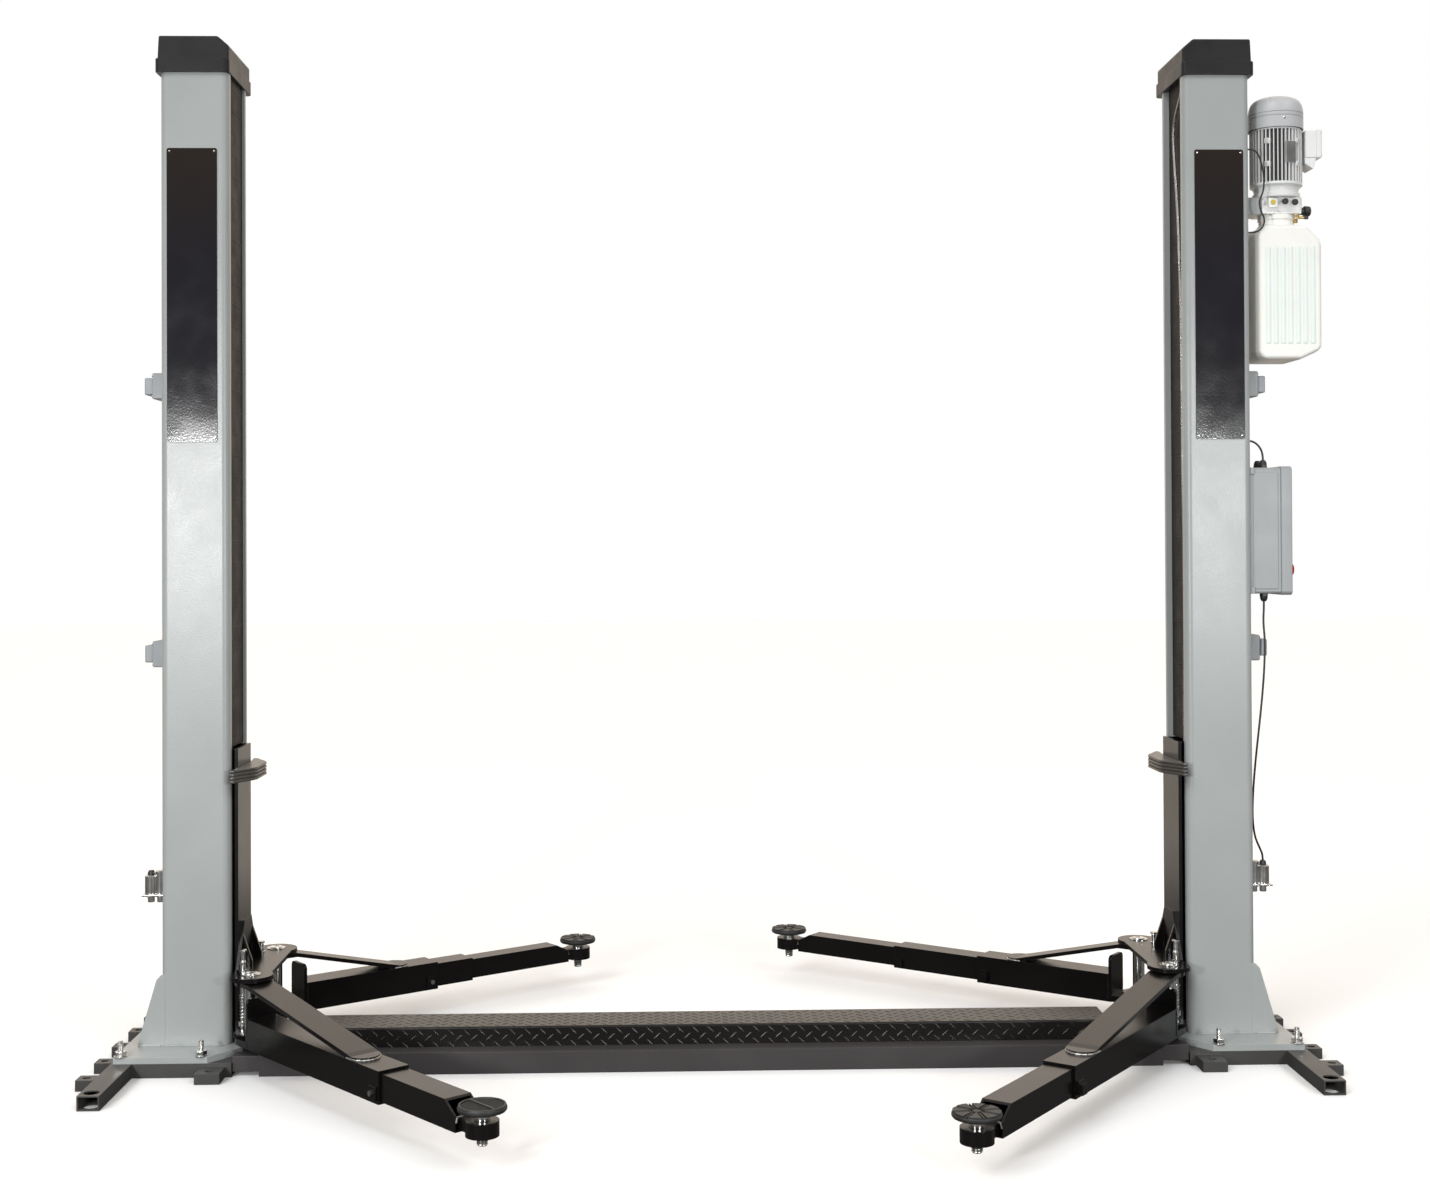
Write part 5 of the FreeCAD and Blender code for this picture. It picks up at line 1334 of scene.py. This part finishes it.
class LIFT_OT_controls(bpy.types.Operator):
    """Builds the control box, its button and its glands"""
    bl_idname = "lift.controls"
    bl_label = "Controls"

    def execute(self, context):
        build_control_box()
        build_button()
        build_glands()
        return {"FINISHED"}


class LIFT_OT_carriages(bpy.types.Operator):
    """Builds the bumpers, the clevis plates, the pins and the lock springs of the carriages"""
    bl_idname = "lift.carriages"
    bl_label = "Carriage pieces"

    def execute(self, context):
        build_bumpers()
        build_clevises()
        build_pins()
        build_locks()
        return {"FINISHED"}


class LIFT_OT_arms(bpy.types.Operator):
    """Builds the pads, their screws, and the welds and stop plates of the arms"""
    bl_idname = "lift.arms"
    bl_label = "Arm pieces"

    def execute(self, context):
        build_pads()
        build_spindles()
        build_arm_details()
        return {"FINISHED"}


class LIFT_PT_sidebar(bpy.types.Panel):
    bl_label = "Two post lift"
    bl_idname = "LIFT_PT_sidebar"
    bl_space_type = "VIEW_3D"
    bl_region_type = "UI"
    bl_category = "Lift"

    def draw(self, context):
        for group in SETTINGS:
            settings = getattr(context.scene, group)
            for name in settings.__annotations__:
                self.layout.prop(settings, name)
        for step in STEPS:
            self.layout.operator(step.bl_idname)


SETTINGS = {"lift_stage": StageSettings, "lift_finish": FinishSettings}
STEPS = (LIFT_OT_stage, LIFT_OT_finishes, LIFT_OT_cords, LIFT_OT_floor_works, LIFT_OT_columns,
         LIFT_OT_power_unit, LIFT_OT_controls, LIFT_OT_carriages, LIFT_OT_arms)


def register():
    for kind in (*SETTINGS.values(), *STEPS, LIFT_PT_sidebar):
        bpy.utils.register_class(kind)
    for name, kind in SETTINGS.items():
        setattr(bpy.types.Scene, name, PointerProperty(type=kind))


def unregister():
    for name in SETTINGS:
        delattr(bpy.types.Scene, name)
    for kind in (LIFT_PT_sidebar, *reversed(STEPS), *reversed(SETTINGS.values())):
        bpy.utils.unregister_class(kind)


def main():
    register()
    for step in STEPS:
        group, name = step.bl_idname.split(".")
        getattr(getattr(bpy.ops, group), name)()


if __name__ == "__main__":
    main()
